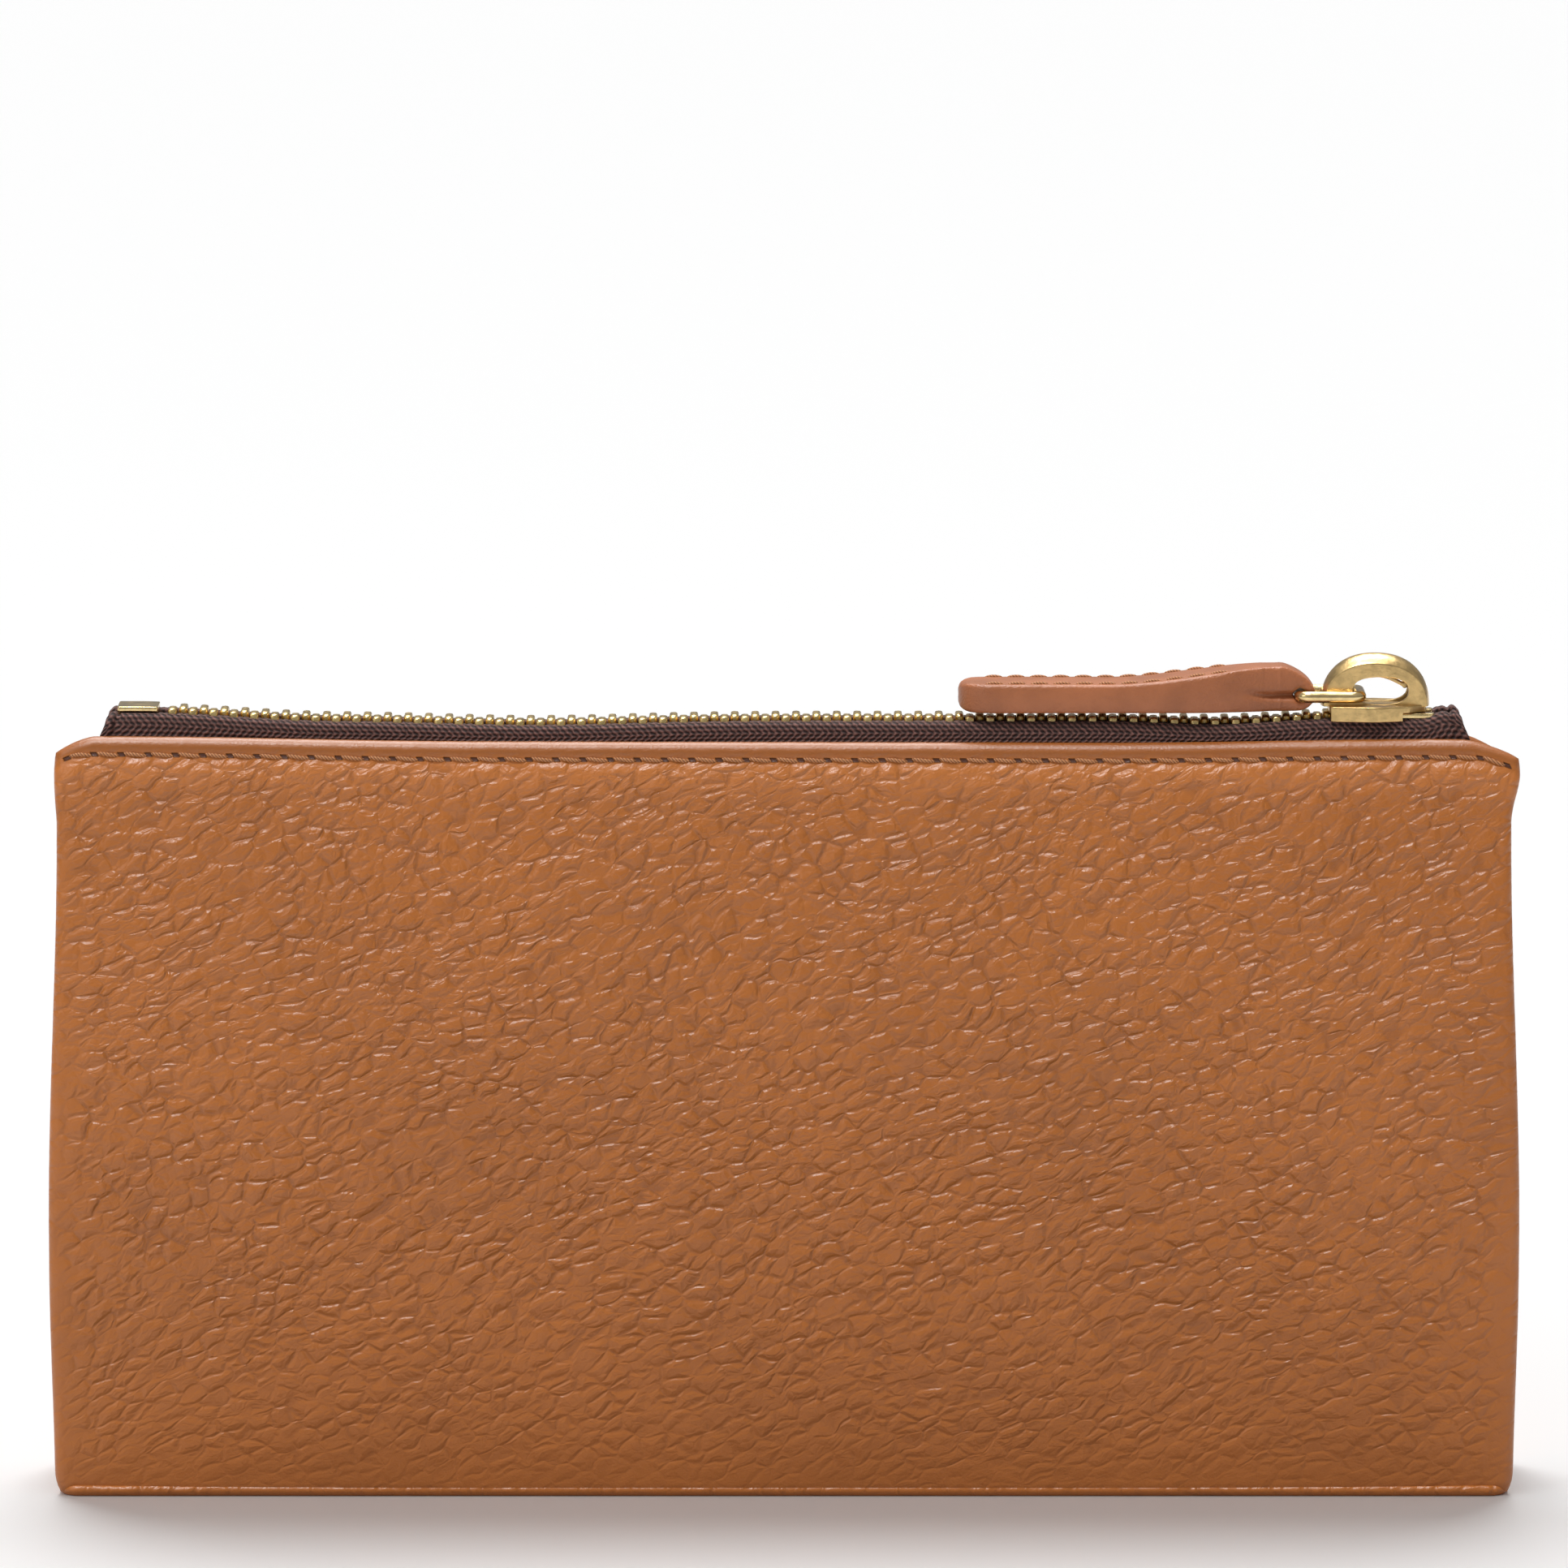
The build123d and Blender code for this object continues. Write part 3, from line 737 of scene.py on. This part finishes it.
def follow_mouth(piece, side, *nodes):
    """Front pieces stay with the front half. Rear ones keep their place, baked into their points."""
    if side == FRONT:
        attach(piece, "front_half")
    else:
        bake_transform(piece)
    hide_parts(*nodes)


def half_name(side):
    return "front" if side == FRONT else "rear"


def slab(name, side, outer, inner, low, high, half_length):
    """A thin layer of a half, fine enough to bend."""
    x = spread(-half_length, half_length, 3.0)
    z = spread(low, high, 4.0)
    gx, gz = np.meshgrid(x, z)
    across = [side * (half_depth(gz) - depth) for depth in (outer, inner)]
    sheets = [point_list(gx, y, gz) for y in across]
    return closed_sheet(name, *sheets, len(x), len(z))


def inner_layers(side):
    """Board, lining and the four tiers of card slots of a half."""
    half = half_name(side)
    low, high = LAYER_Z
    board = slab(f"board_{half}", side, LEATHER + LAYER_GAP, BOARD_FACE, low, high, 90.5)
    dress(board, BOARD)
    follow_mouth(board, side, f"stiffener_board_{half}")
    lining = slab(f"lining_cloth_{half}", side, BOARD_FACE + LAYER_GAP, LINING_FACE, low, high, 90.0)
    dress(lining, LINING)
    follow_mouth(lining, side, f"lining_{half}")
    for index, top in enumerate(CARD_TOPS):
        face = LINING_FACE + index * CARD_LEATHER
        back = face + CARD_LEATHER
        tier = slab(f"card_tier_{half}_{index + 1}", side, face + LAYER_GAP, back, 4.6, top, 87.0)
        dress(tier, CARD_SKIN)
        follow_mouth(tier, side, f"card_slot_{half}_{index + 1}")


front_leather = outer_half("leather_front", FRONT, 0.0)
dress(front_leather, LEATHER_SKIN)
follow_mouth(front_leather, FRONT, "outer_leather_front")
rear_leather = outer_half("leather_rear", REAR, rear_low[2])
dress(rear_leather, LEATHER_SKIN)
follow_mouth(rear_leather, REAR, "outer_leather_rear")
for side in (FRONT, REAR):
    inner_layers(side)


def base_place(flat):
    """Lay a flat sheet (along, across, depth) under the wallet."""
    x, across, depth = flat.T
    return np.column_stack([x, across, depth + base_low[2]])


base_roll = (base_high[2] - base_low[2]) / 2
base_reach = base_high[1] - base_roll
base_leather, flat, strength = rolled_sheet(
    "leather_base", np.linspace(-1, 1, 300), np.linspace(0, 1, 42),
    lambda y: np.full_like(y, base_high[0] - base_roll) - 1.6 * (np.abs(y) / base_reach) ** 16,
    lambda x: np.full_like(x, base_reach), -base_reach, base_place, roll=base_roll, flap=0.0)
store(base_leather, "grain", flat + (57.0, -40.0, 0.0))
store(base_leather, "below_top", np.full(len(flat), 50.0))
store(base_leather, "calm", np.full(len(flat), 0.5))
store(base_leather, "relief", np.where(strength > 0.9, 0.03, 0.0))
raise_pebbles(base_leather)
dress(base_leather, LEATHER_SKIN)
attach(base_leather, "front_half")
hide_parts("outer_leather_base")


GUSSET = 0.7               # thickness
GUSSET_X = (85.0, 91.4)    # fold and outer edges
GUSSET_Z = (1.7, 91.0)     # low and high edges


def gusset(end):
    """A strip of leather folded inwards between the two faces, its top edge dipping at the fold."""
    t, share = np.meshgrid(np.linspace(-1.0, 1.0, 41), np.linspace(0.0, 1.0, 60))
    reach = np.minimum(np.sqrt(t**2 + 0.006), 1.0)
    z = GUSSET_Z[0] + share * (GUSSET_Z[1] - 4.5 * (1.0 - reach) - GUSSET_Z[0])
    wrinkle = 0.22 * np.sin(z / 4.7 + 2.0 * t) * (1.0 - reach) * np.sin(math.pi * share)
    x = GUSSET_X[0] + (GUSSET_X[1] - GUSSET_X[0]) * reach + wrinkle
    y = t * (half_depth(z) - 2.0 * ROLL - 0.05)
    outer = point_list(end * x, y, z)
    inner = outer - (end * GUSSET, 0.0, 0.0)
    name = "left" if end < 0 else "right"
    piece = closed_sheet(f"folded_gusset_{name}", outer, inner, *t.shape[::-1], smooth=True)
    dress(piece, GUSSET_SKIN)
    if end < 0:
        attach(piece, "front_half")
    else:
        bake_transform(piece)
    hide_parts(f"gusset_{name}")


gusset(-1)
gusset(1)


def base_layer(name, node, material):
    """A thin layer on the base leather, its corners rounded."""
    low, high = box_mm(node)
    gx, gy = np.meshgrid(np.linspace(-1.0, 1.0, 61), np.linspace(-1.0, 1.0, 13))
    reach = GUSSET_X[0] - 1.2
    x = gx * (reach - 2.0 * np.abs(gy) ** 12)
    wave = 0.04 * np.sin(x / 7.0) * np.cos(gy * 2.0)
    levels = [np.full_like(x, z) + wave for z in (high[2], low[2])]
    sheets = [point_list(x, gy * high[1], z) for z in levels]
    piece = closed_sheet(name, *sheets, *gx.shape[::-1])
    dress(piece, material)
    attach(piece, "front_half")
    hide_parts(node)
    return piece, (2 * reach * MM, (high[1] - low[1]) * MM)


base_board, _ = base_layer("board_base", "stiffener_board_base", BOARD)
base_cloth, base_size = base_layer("lining_cloth_base", "lining_base", LINING)

POCKET_MIDDLE = 3.15       # a wall from the middle plane
POCKET_THICK = 0.7


def pocket_cloth():
    """The centre pocket: one doubled cloth folded round a U, its two top edges hemmed."""
    low, high = box_mm("divider_wall_front")
    count = 40
    down = np.linspace(high[2], low[2], count)
    turn = np.linspace(0.0, math.pi, 13)[1:-1]
    wall = np.full(count, POCKET_MIDDLE)
    y = np.concatenate([-wall, -POCKET_MIDDLE * np.cos(turn), wall])
    z = np.concatenate([down, low[2] - POCKET_MIDDLE * np.sin(turn), down[::-1]])
    across, along = np.gradient(z), -np.gradient(y)
    long = np.hypot(across, along)
    x = spread(low[0], high[0], 3.0)
    gx, row = np.meshgrid(x, np.arange(len(y)))
    hem = 0.12 * smoothstep(high[2] - 5.6, high[2] - 5.2, z)
    sag = 0.22 * np.sin(gx / 14.0) * np.sin(math.pi * (z[row] - low[2]) / 156.0)
    sheets = []
    for face in (0.5, -0.5):
        push = face * (POCKET_THICK + hem)
        py = y[row] + (push * across / long)[row] + sag
        pz = z[row] + (push * along / long)[row] + 0.25 * np.cos(gx / 31.0) * (z[row] > high[2] - 0.1)
        sheets.append(point_list(gx, py, pz))
    piece = closed_sheet("pocket_cloth", *sheets, len(x), len(y), smooth=True)
    dress(piece, POCKET)
    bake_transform(piece)
    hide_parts("divider_wall_front", "divider_base_fold", "divider_wall_rear")


pocket_cloth()


# ---- seams


def lofted(rings):
    """Corners and faces of a closed form through rings of points, capped at both ends."""
    count, sides = rings.shape[:2]
    faces = []
    for r in range(count - 1):
        for k in range(sides):
            a, b = r * sides + k, r * sides + (k + 1) % sides
            faces.append((a, b, b + sides, a + sides))
    last = (count - 1) * sides
    faces.append(tuple(reversed(range(sides))))
    faces.append(tuple(range(last, last + sides)))
    return rings.reshape(-1, 3), faces


def tube(points, radii, sides=8):
    """A closed tube along points."""
    points = np.asarray(points, float)
    ahead = np.gradient(points, axis=0)
    ahead /= np.linalg.norm(ahead, axis=1)[:, None]
    side_way = np.cross(ahead, (0.0, 0.13, 1.0))
    side_way /= np.linalg.norm(side_way, axis=1)[:, None]
    up = np.cross(side_way, ahead)
    turn = np.linspace(0, 2 * math.pi, sides, endpoint=False)
    cos, sin = np.cos(turn)[None, :, None], np.sin(turn)[None, :, None]
    outward = cos * side_way[:, None, :] + sin * up[:, None, :]
    return lofted(points[:, None, :] + np.asarray(radii)[:, None, None] * outward)


def joined(parts):
    """Several (points, faces) as one."""
    points, faces, total = [], [], 0
    for some, their in parts:
        points.append(np.asarray(some, float))
        faces += [tuple(total + k for k in face) for face in their]
        total += len(some)
    return np.concatenate(points), faces


def seam_threads(side):
    """One raised thread from needle hole to needle hole, all along the top edge."""
    place = half_place(side)
    count = int((HALF_LENGTH - 3.0) // STITCH_PITCH)
    t = np.linspace(0, 1, 9)
    parts = []
    for k in range(-count, count + 1):
        x = STITCH_PITCH * (k + (t - 0.5) * 0.86)
        below = SEAM_DROP + 0.34 * (t - 0.5) * -side
        line = place(np.column_stack([x, top_line(x, side) + ROLL - below, np.zeros_like(x)]))
        line[:, 1] += side * (0.34 * np.sin(math.pi * t) ** 0.6 - 0.2)
        radii = 0.27 * (0.55 + 0.45 * np.sin(math.pi * t) ** 0.5)
        parts.append(tube(line, radii))
    piece = new_mesh(f"seam_thread_{half_name(side)}", *joined(parts))
    turn_outwards(piece)
    dress(piece, THREAD)
    follow_mouth(piece, side, f"top_stitching_{half_name(side)}")


for side in (FRONT, REAR):
    seam_threads(side)


# ---- zip

TAPE = 0.5         # thickness
TAPE_IN = 1.9      # inner edge of the tape from the middle plane
TOOTH_COUNT = 59   # of one tape
TOOTH_HALF = 0.62  # of the frame's teeth, along the chain


def tape_path(side, count):
    """Middle of the tape from the chain out, over the bend and down inside the leather."""
    bend = [(TAPE_IN - 0.5, CHAIN_Z), (TAPE_IN + 1.1, CHAIN_Z)]
    bend += [(3.75, CHAIN_Z - 0.15), (4.1, CHAIN_Z - 1.6)]
    down = [(half_depth(z) - TURN_FACE - 0.33, z) for z in (96.2, 92.0, tape_low[2])]
    curve = np.array(bend + down)
    gaps = np.concatenate([[0], np.cumsum(np.linalg.norm(np.diff(curve, axis=0), axis=1))])
    at = np.linspace(0, gaps[-1], count)
    y = np.interp(at, gaps, curve[:, 0])
    z = np.interp(at, gaps, curve[:, 1])
    for _ in range(3):
        y[1:-1] = (y[:-2] + 2 * y[1:-1] + y[2:]) / 4
        z[1:-1] = (z[:-2] + 2 * z[1:-1] + z[2:]) / 4
    return side * y, z, at


def zip_tape(side):
    """Woven tape with raised ribs, a corded edge at the chain and a turned end at each side."""
    y, z, at = tape_path(side, 46)
    along_y, along_z = np.gradient(y), np.gradient(z)
    long = np.hypot(along_y, along_z)
    out = np.column_stack([-along_z * side, along_y * side]) / long[:, None]
    x = spread(tape_low[0], tape_high[0], 0.22)
    gx, gs = np.meshgrid(x, np.arange(len(at)))
    s = at[gs]
    near_end = tape_high[0] - np.abs(gx)
    slant = gx * -side + np.abs((s / CHEVRON + 1.0) % 2.0 - 1.0) * CHEVRON
    picks = 0.7 + 0.3 * np.sin(2 * math.pi * s / PICK_PITCH)
    ribs = 0.045 * np.sin(2 * math.pi * slant / RIB_PITCH) * picks
    cord = 0.16 * bell(s, 1.9, 0.5)
    turned = 0.3 * smoothstep(1.7, 1.2, near_end) - 0.3 * bell(near_end, 1.85, 0.2)
    lift = chain_lift(gx) * (1 - smoothstep(3.0, 7.2, s))
    corner = (0.4 - 1.2 * smoothstep(1.5, 5.5, s)) * smoothstep(9.0, 0.0, near_end) ** 2
    lift = lift - 1.7 * quarter(np.clip(1.0 - near_end / 1.9, 0.0, 1.0)) * smoothstep(7.0, 2.5, s)
    lift = lift + 0.9 * smoothstep(82.2, 85.5, gx) * (1 - smoothstep(3.0, 7.2, s))
    sheets = []
    for face, extra in ((TAPE / 2, ribs + cord + turned), (-TAPE / 2, -cord)):
        push = face + extra
        py = y[gs] + out[gs, 0] * push
        pz = z[gs] + out[gs, 1] * push + lift
        sheets.append(point_list(gx - np.sign(gx) * corner, py, pz))
    piece = closed_sheet(f"twill_tape_{half_name(side)}", *sheets, len(x), len(at), smooth=True)
    cloth = point_list(gx * -side, s, np.zeros_like(s))
    store(piece, "grain", np.concatenate([cloth, cloth + (0, 0, 3.0)]))
    dress(piece, TWILL)
    follow_mouth(piece, side, f"zip_tape_{half_name(side)}")


def tooth(side):
    """One tooth: a rounded head past the middle, a waist and two legs clamped on the tape."""
    # Distance across the chain, half width and half height
    stations = [(-0.74, 0.30, 0.62), (-0.62, 0.44, 0.82), (-0.2, 0.56, 0.95), (0.5, 0.58, 1.0),
                (1.1, 0.46, 0.97), (1.7, 0.48, 0.98), (2.3, 0.56, 1.0), (2.7, 0.55, 0.98),
                (2.88, 0.40, 0.8)]
    turn = np.linspace(0, 2 * math.pi, 16, endpoint=False)
    # A rounded rectangle as a superellipse
    round_x = np.sign(np.cos(turn)) * np.abs(np.cos(turn)) ** 0.45
    round_z = np.sign(np.sin(turn)) * np.abs(np.sin(turn)) ** 0.45
    rings = [np.column_stack([round_x * w, np.full(16, side * y), round_z * h]) for y, w, h in stations]
    return lofted(np.array(rings))


def tooth_row(side):
    """All the teeth of one tape, set along the hanging chain."""
    low, high = box_mm(f"zip_teeth_{half_name(side)}")
    shape, faces = tooth(side)
    parts = []
    for x in np.linspace(low[0] + TOOTH_HALF, high[0] - TOOTH_HALF, TOOTH_COUNT):
        parts.append((shape + (x, 0.0, CHAIN_Z + float(chain_lift(x))), faces))
    piece = new_mesh(f"tooth_row_{half_name(side)}", *joined(parts))
    turn_outwards(piece)
    dress(piece, TEETH_GOLD)
    follow_mouth(piece, side, f"zip_teeth_{half_name(side)}")


for side in (FRONT, REAR):
    zip_tape(side)
    tooth_row(side)


def softened(name, node, voxel, passes):
    """A copy of a frame part with its edges rounded off, as casting and tumbling leave them."""
    piece = bpy.data.objects.new(name, frame["nodes"][node].data.copy())
    add_to_scene(piece)
    soften(piece, voxel, passes)
    return piece


def soften(piece, voxel, passes):
    """Round the edges of a closed mesh, fusing what overlaps in it."""
    remesh = piece.modifiers.new("remesh", "REMESH")
    remesh.mode = "VOXEL"
    remesh.voxel_size = voxel * MM
    smooth = piece.modifiers.new("smooth", "SMOOTH")
    smooth.iterations = passes
    smooth.factor = 0.5
    settle(piece)
    for polygon in piece.data.polygons:
        polygon.use_smooth = True


def read_points(piece):
    """A mesh's points in millimetres."""
    values = np.empty(3 * len(piece.data.vertices), np.float32)
    piece.data.vertices.foreach_get("co", values)
    return values.reshape(-1, 3).astype(float) / MM


def write_points(piece, points):
    piece.data.vertices.foreach_set("co", (points * MM).astype(np.float32).ravel())
    piece.data.update()


def cast_part(name, node, body, material, voxel, passes):
    piece = softened(name, node, voxel, passes)
    dress(piece, material)
    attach(piece, body)
    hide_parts(node)


cast_part("slider_casting", "slider_body", "slider", CAST_GOLD, 0.1, 5)


# The slider's bridge in the XZ plane
CROWN_MIDDLE = (76.35, 101.8)   # middle of its foot line
CROWN_REACH = (6.7, 5.6)
CROWN_POWER = 2.25              # 2 is an ellipse, more is squarer
CROWN_SIDE = 2.3                # outer side from the middle plane
CROWN_WALL = 0.62
CROWN_DOME = 1.15               # rise of the roof between its sides
CROWN_POINTS = 96
WINDOW_MIDDLE = (77.0, 103.85)
WINDOW_REACH = (3.6, 1.75)
WINDOW_POWER = 2.5


def oval(middle, reach, power, turn):
    """Points of a superellipse in the XZ plane."""
    cos, sin = np.cos(turn), np.sin(turn)
    x = middle[0] + reach[0] * np.sign(cos) * np.abs(cos) ** (2 / power)
    return x, middle[1] + reach[1] * np.sign(sin) * np.abs(sin) ** (2 / power)


def crown_side(side):
    """One upright arch of the bridge with its rounded window."""
    count = CROWN_POINTS
    turn = np.linspace(0.0, 2 * math.pi, count, endpoint=False)
    arch = oval(CROWN_MIDDLE, CROWN_REACH, CROWN_POWER, turn)
    rim = (arch[0], np.maximum(arch[1], CROWN_MIDDLE[1]))
    window = oval(WINDOW_MIDDLE, WINDOW_REACH, WINDOW_POWER, turn)
    loops = []
    for x, z in (rim, window):
        for y in (side * CROWN_SIDE, side * (CROWN_SIDE - CROWN_WALL)):
            loops.append(np.column_stack([x, np.full(count, y), z]))
    faces = []
    for one, other in ((0, 1), (1, 3), (3, 2), (2, 0)):
        a, b = one * count, other * count
        for k in range(count):
            after = (k + 1) % count
            faces.append((a + k, a + after, b + after, b + k))
    return np.concatenate(loops), faces


def crown_roof():
    """The domed sheet between the two arches."""
    turn = np.linspace(0.0, math.pi, 61)
    x, z = oval(CROWN_MIDDLE, CROWN_REACH, CROWN_POWER, turn)
    across = np.linspace(-1.0, 1.0, 17)
    grid_x, grid_v = np.meshgrid(x - CROWN_MIDDLE[0], across)
    grid_z = np.meshgrid(z - CROWN_MIDDLE[1], across)[0]
    swell = 1.0 - grid_v**2
    sheets = []
    for shrink in (1.0, 0.86):
        px = CROWN_MIDDLE[0] + grid_x * shrink * (1.0 + 0.05 * swell)
        pz = CROWN_MIDDLE[1] + grid_z * shrink * (1.0 + CROWN_DOME / CROWN_REACH[1] * swell)
        sheets.append(point_list(px, grid_v * CROWN_SIDE, pz))
    return closed_sheet("crown_roof", *sheets, len(turn), len(across))


def crown_cap():
    """The slider's bridge: two arches and a dome cast in one, its edges tumbled round."""
    roof = crown_roof()
    roof_points = read_points(roof)
    roof_faces = [tuple(polygon.vertices) for polygon in roof.data.polygons]
    bpy.data.objects.remove(roof)
    piece = new_mesh("crown_cap", *joined([crown_side(FRONT), crown_side(REAR), (roof_points, roof_faces)]))
    turn_outwards(piece)
    soften(piece, 0.085, 5)
    dress(piece, CAST_GOLD)
    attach(piece, "slider")
    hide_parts("slider_crown")


def pawl_spring():
    """The locking leaf, sprung up under the dome between its leg and its pivot."""
    piece = softened("pawl_spring", "lock_pawl", 0.08, 2)
    low, high = box_mm("lock_pawl")
    points = read_points(piece)
    along = np.clip((points[:, 0] - low[0] - 0.2) / (high[0] - low[0] - 0.8), 0.0, 1.0)
    points[:, 2] += 1.3 * np.sin(math.pi * along) * smoothstep(high[2] - 1.4, high[2] - 0.8, points[:, 2])
    write_points(piece, points)
    dress(piece, CAST_GOLD)
    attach(piece, "lock_pawl")
    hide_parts("lock_pawl")


crown_cap()
pawl_spring()
cast_part("ring_wire", "pull_ring", "pull_ring", RING_GOLD, 0.09, 2)
cast_part("pocket_seam_left", "divider_seam_left", "front_half", POCKET, 0.3, 6)
cast_part("pocket_seam_right", "divider_seam_right", "divider", POCKET, 0.3, 6)


def stop(name, node, body):
    """A crimped end stop, at the height of the chain beside it."""
    piece = softened(name, node, 0.1, 3)
    points = read_points(piece)
    points[:, 2] += chain_lift(points[:, 0]) * 1.15
    write_points(piece, points)
    dress(piece, RING_GOLD)
    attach(piece, body)
    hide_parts(node)


stop("bar_stop", "bottom_stop", "front_half")
stop("stop_front", "top_stop_front", "front_half")
stop("stop_rear", "top_stop_rear", "rear_half")

# The leather tab's two layers part around the ring's outer bar
RING_Z = 103.2
TAB_LOW = 101.2     # underside of the tab
TAB_THICK = 3.65
TAB_HALF = 4.6      # half width, behind the shoulders


def tab_rise(x):
    """How much the tab's upper layer is lifted towards the ring."""
    x = np.asarray(x, float)
    return 1.75 * smoothstep(42.0, 62.0, x) - 1.5 * smoothstep(64.0, 68.4, x)


def tab_shape(points):
    """Move points of the plain tab to the real one's humped, split and soft-edged shape."""
    x, y, z = points.T
    # The shoulders are drawn in along a smooth curve
    plain = np.interp(x, (0.0, 62.0, 64.0, 99.0), (TAB_HALF, TAB_HALF, 2.3, 2.3))
    curved = 2.5 + 2.1 * (1.0 - smoothstep(52.0, 66.0, x))
    y = y * curved / plain
    share = np.clip((z - TAB_LOW) / TAB_THICK, 0.0, 1.0)
    crown = 0.18 * (1.0 - np.clip(np.abs(y) / TAB_HALF, 0, 1) ** 2) * share
    split = 1.2 * bell(z, RING_Z, 0.38) * smoothstep(58.0, 65.5, x)
    end = np.clip((24.6 - x) / 2.0, 0.0, 1.0)
    z = 103.0 + (z - 103.0) * (1.0 - 0.42 * quarter(end))
    belly = 0.2 * np.sin(np.pi * np.clip((z - TAB_LOW) / TAB_THICK, 0, 1)) * smoothstep(23.0, 27.0, x)
    near_ring = smoothstep(57.0, 63.0, x)
    above = share**1.5 * (1.0 - near_ring) + smoothstep(RING_Z + 0.75, RING_Z + 1.5, z) * near_ring
    lift = tab_rise(x) * above + crown
    nose = quarter(np.clip((x - 65.6) / 3.05, 0.0, 1.0))
    z = RING_Z + (z - RING_Z) * (1.0 - 0.4 * nose * smoothstep(0.7, 1.4, np.abs(z - RING_Z)))
    return np.column_stack([x, y + np.sign(y) * (belly - split) * (np.abs(y) > 1.2), z + lift])


def leather_tab():
    piece = softened("leather_tab", "pull_tab_leather", 0.17, 26)
    write_points(piece, tab_shape(read_points(piece)))
    dress(piece, TAB_SKIN)
    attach(piece, "pull_tab")
    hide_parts("pull_tab_leather")


def tab_threads():
    """Two rows of short stitches along the top of the tab."""
    low, high = box_mm("pull_tab_stitching")
    t = np.linspace(0, 1, 9)
    parts = []
    for y in (-3.45, 3.45):
        for x in np.arange(low[0] + 3.0, high[0] + 2.0, 2.9):
            line = np.column_stack([x + 2.4 * t, np.full(9, y), np.full(9, 104.82)])
            line = tab_shape(line)
            line[:, 2] += 0.2 * np.sin(math.pi * t) ** 0.6 - 0.12
            parts.append(tube(line, 0.24 * (0.5 + 0.5 * np.sin(math.pi * t) ** 0.5)))
    piece = new_mesh("tab_threads", *joined(parts))
    turn_outwards(piece)
    dress(piece, THREAD)
    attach(piece, "pull_tab")
    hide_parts("pull_tab_stitching")


leather_tab()
tab_threads()


# ---- stage, light and camera

# The camera, in metres
ELEVATION = math.radians(8.0)
FRAME_WIDTH = 0.2029    # what the view is wide at the wallet
AIM_Z = 0.0914
DISTANCE = 1.5
SENSOR = 36.0           # in millimetres
FLOOR_REACH = 3.0

floor_mesh = bpy.data.meshes.new("floor")
corners = [(x * FLOOR_REACH, y * FLOOR_REACH, 0) for x, y in ((-1, -1), (1, -1), (1, 1), (-1, 1))]
floor_mesh.from_pydata(corners, [], [(0, 1, 2, 3)])
floor = bpy.data.objects.new("floor", floor_mesh)
add_to_scene(floor)
floor_skin, _, floor_shader = new_material("pale_floor")
floor_shader.inputs["Base Color"].default_value = (0.96, 0.96, 0.96, 1)
floor_shader.inputs["Roughness"].default_value = 0.8
floor_mesh.materials.append(floor_skin)


def soft_light(name, place, aim, size, power):
    """A large square light that looks at a point."""
    lamp = bpy.data.lights.new(name, "AREA")
    lamp.shape = "SQUARE"
    lamp.size = size
    lamp.energy = power
    made = bpy.data.objects.new(name, lamp)
    made.location = place
    made.rotation_euler = (Vector(aim) - Vector(place)).to_track_quat("-Z", "Y").to_euler()
    add_to_scene(made)


def far_light(name, way, power, angle):
    """A distant soft light that shines along a direction."""
    lamp = bpy.data.lights.new(name, "SUN")
    lamp.energy = power
    lamp.angle = angle
    made = bpy.data.objects.new(name, lamp)
    made.rotation_euler = Vector(way).to_track_quat("-Z", "Y").to_euler()
    add_to_scene(made)
    return made


soft_light("left_box", (-0.8, -0.7, 0.7), (0, 0, 0.05), 0.5, 1.6)
grazing = far_light("grazing", (0.16, 0.26, -1.0), 2.1, 0.25)
far_light("overhead", (0.05, -0.5, -1.0), 2.35, 0.6)

# The grazing light falls on the wallet only, which keeps the shadow under the base
wallet = bpy.data.collections.new("wallet")
for piece in bpy.context.scene.objects:
    if piece.type == "MESH" and piece is not floor:
        wallet.objects.link(piece)
grazing.light_linking.receiver_collection = wallet

# A studio that is bright overhead and dimmer near the horizon
world = bpy.data.worlds.new("studio")
world.use_nodes = True
sky = world.node_tree
height = axes(sky.nodes.new("ShaderNodeTexCoord").outputs["Generated"])[2]
sky.links.new(ramp_between(height, -0.1, 0.9, 0.24, 0.4), sky.nodes["Background"].inputs[1])
sky.nodes["Background"].inputs[0].default_value = (1, 1, 1, 1)
bpy.context.scene.world = world
bpy.context.scene.view_settings.view_transform = "Standard"

camera_data = bpy.data.cameras.new("camera")
camera_data.sensor_width = SENSOR
camera_data.lens = SENSOR * DISTANCE / FRAME_WIDTH
camera = bpy.data.objects.new("camera", camera_data)
away = Vector((0, -math.cos(ELEVATION), math.sin(ELEVATION)))
aim = Vector((0, 0, AIM_Z))
camera.location = aim + away * DISTANCE
camera.rotation_euler = (-away).to_track_quat("-Z", "Y").to_euler()
add_to_scene(camera)
bpy.context.scene.camera = camera
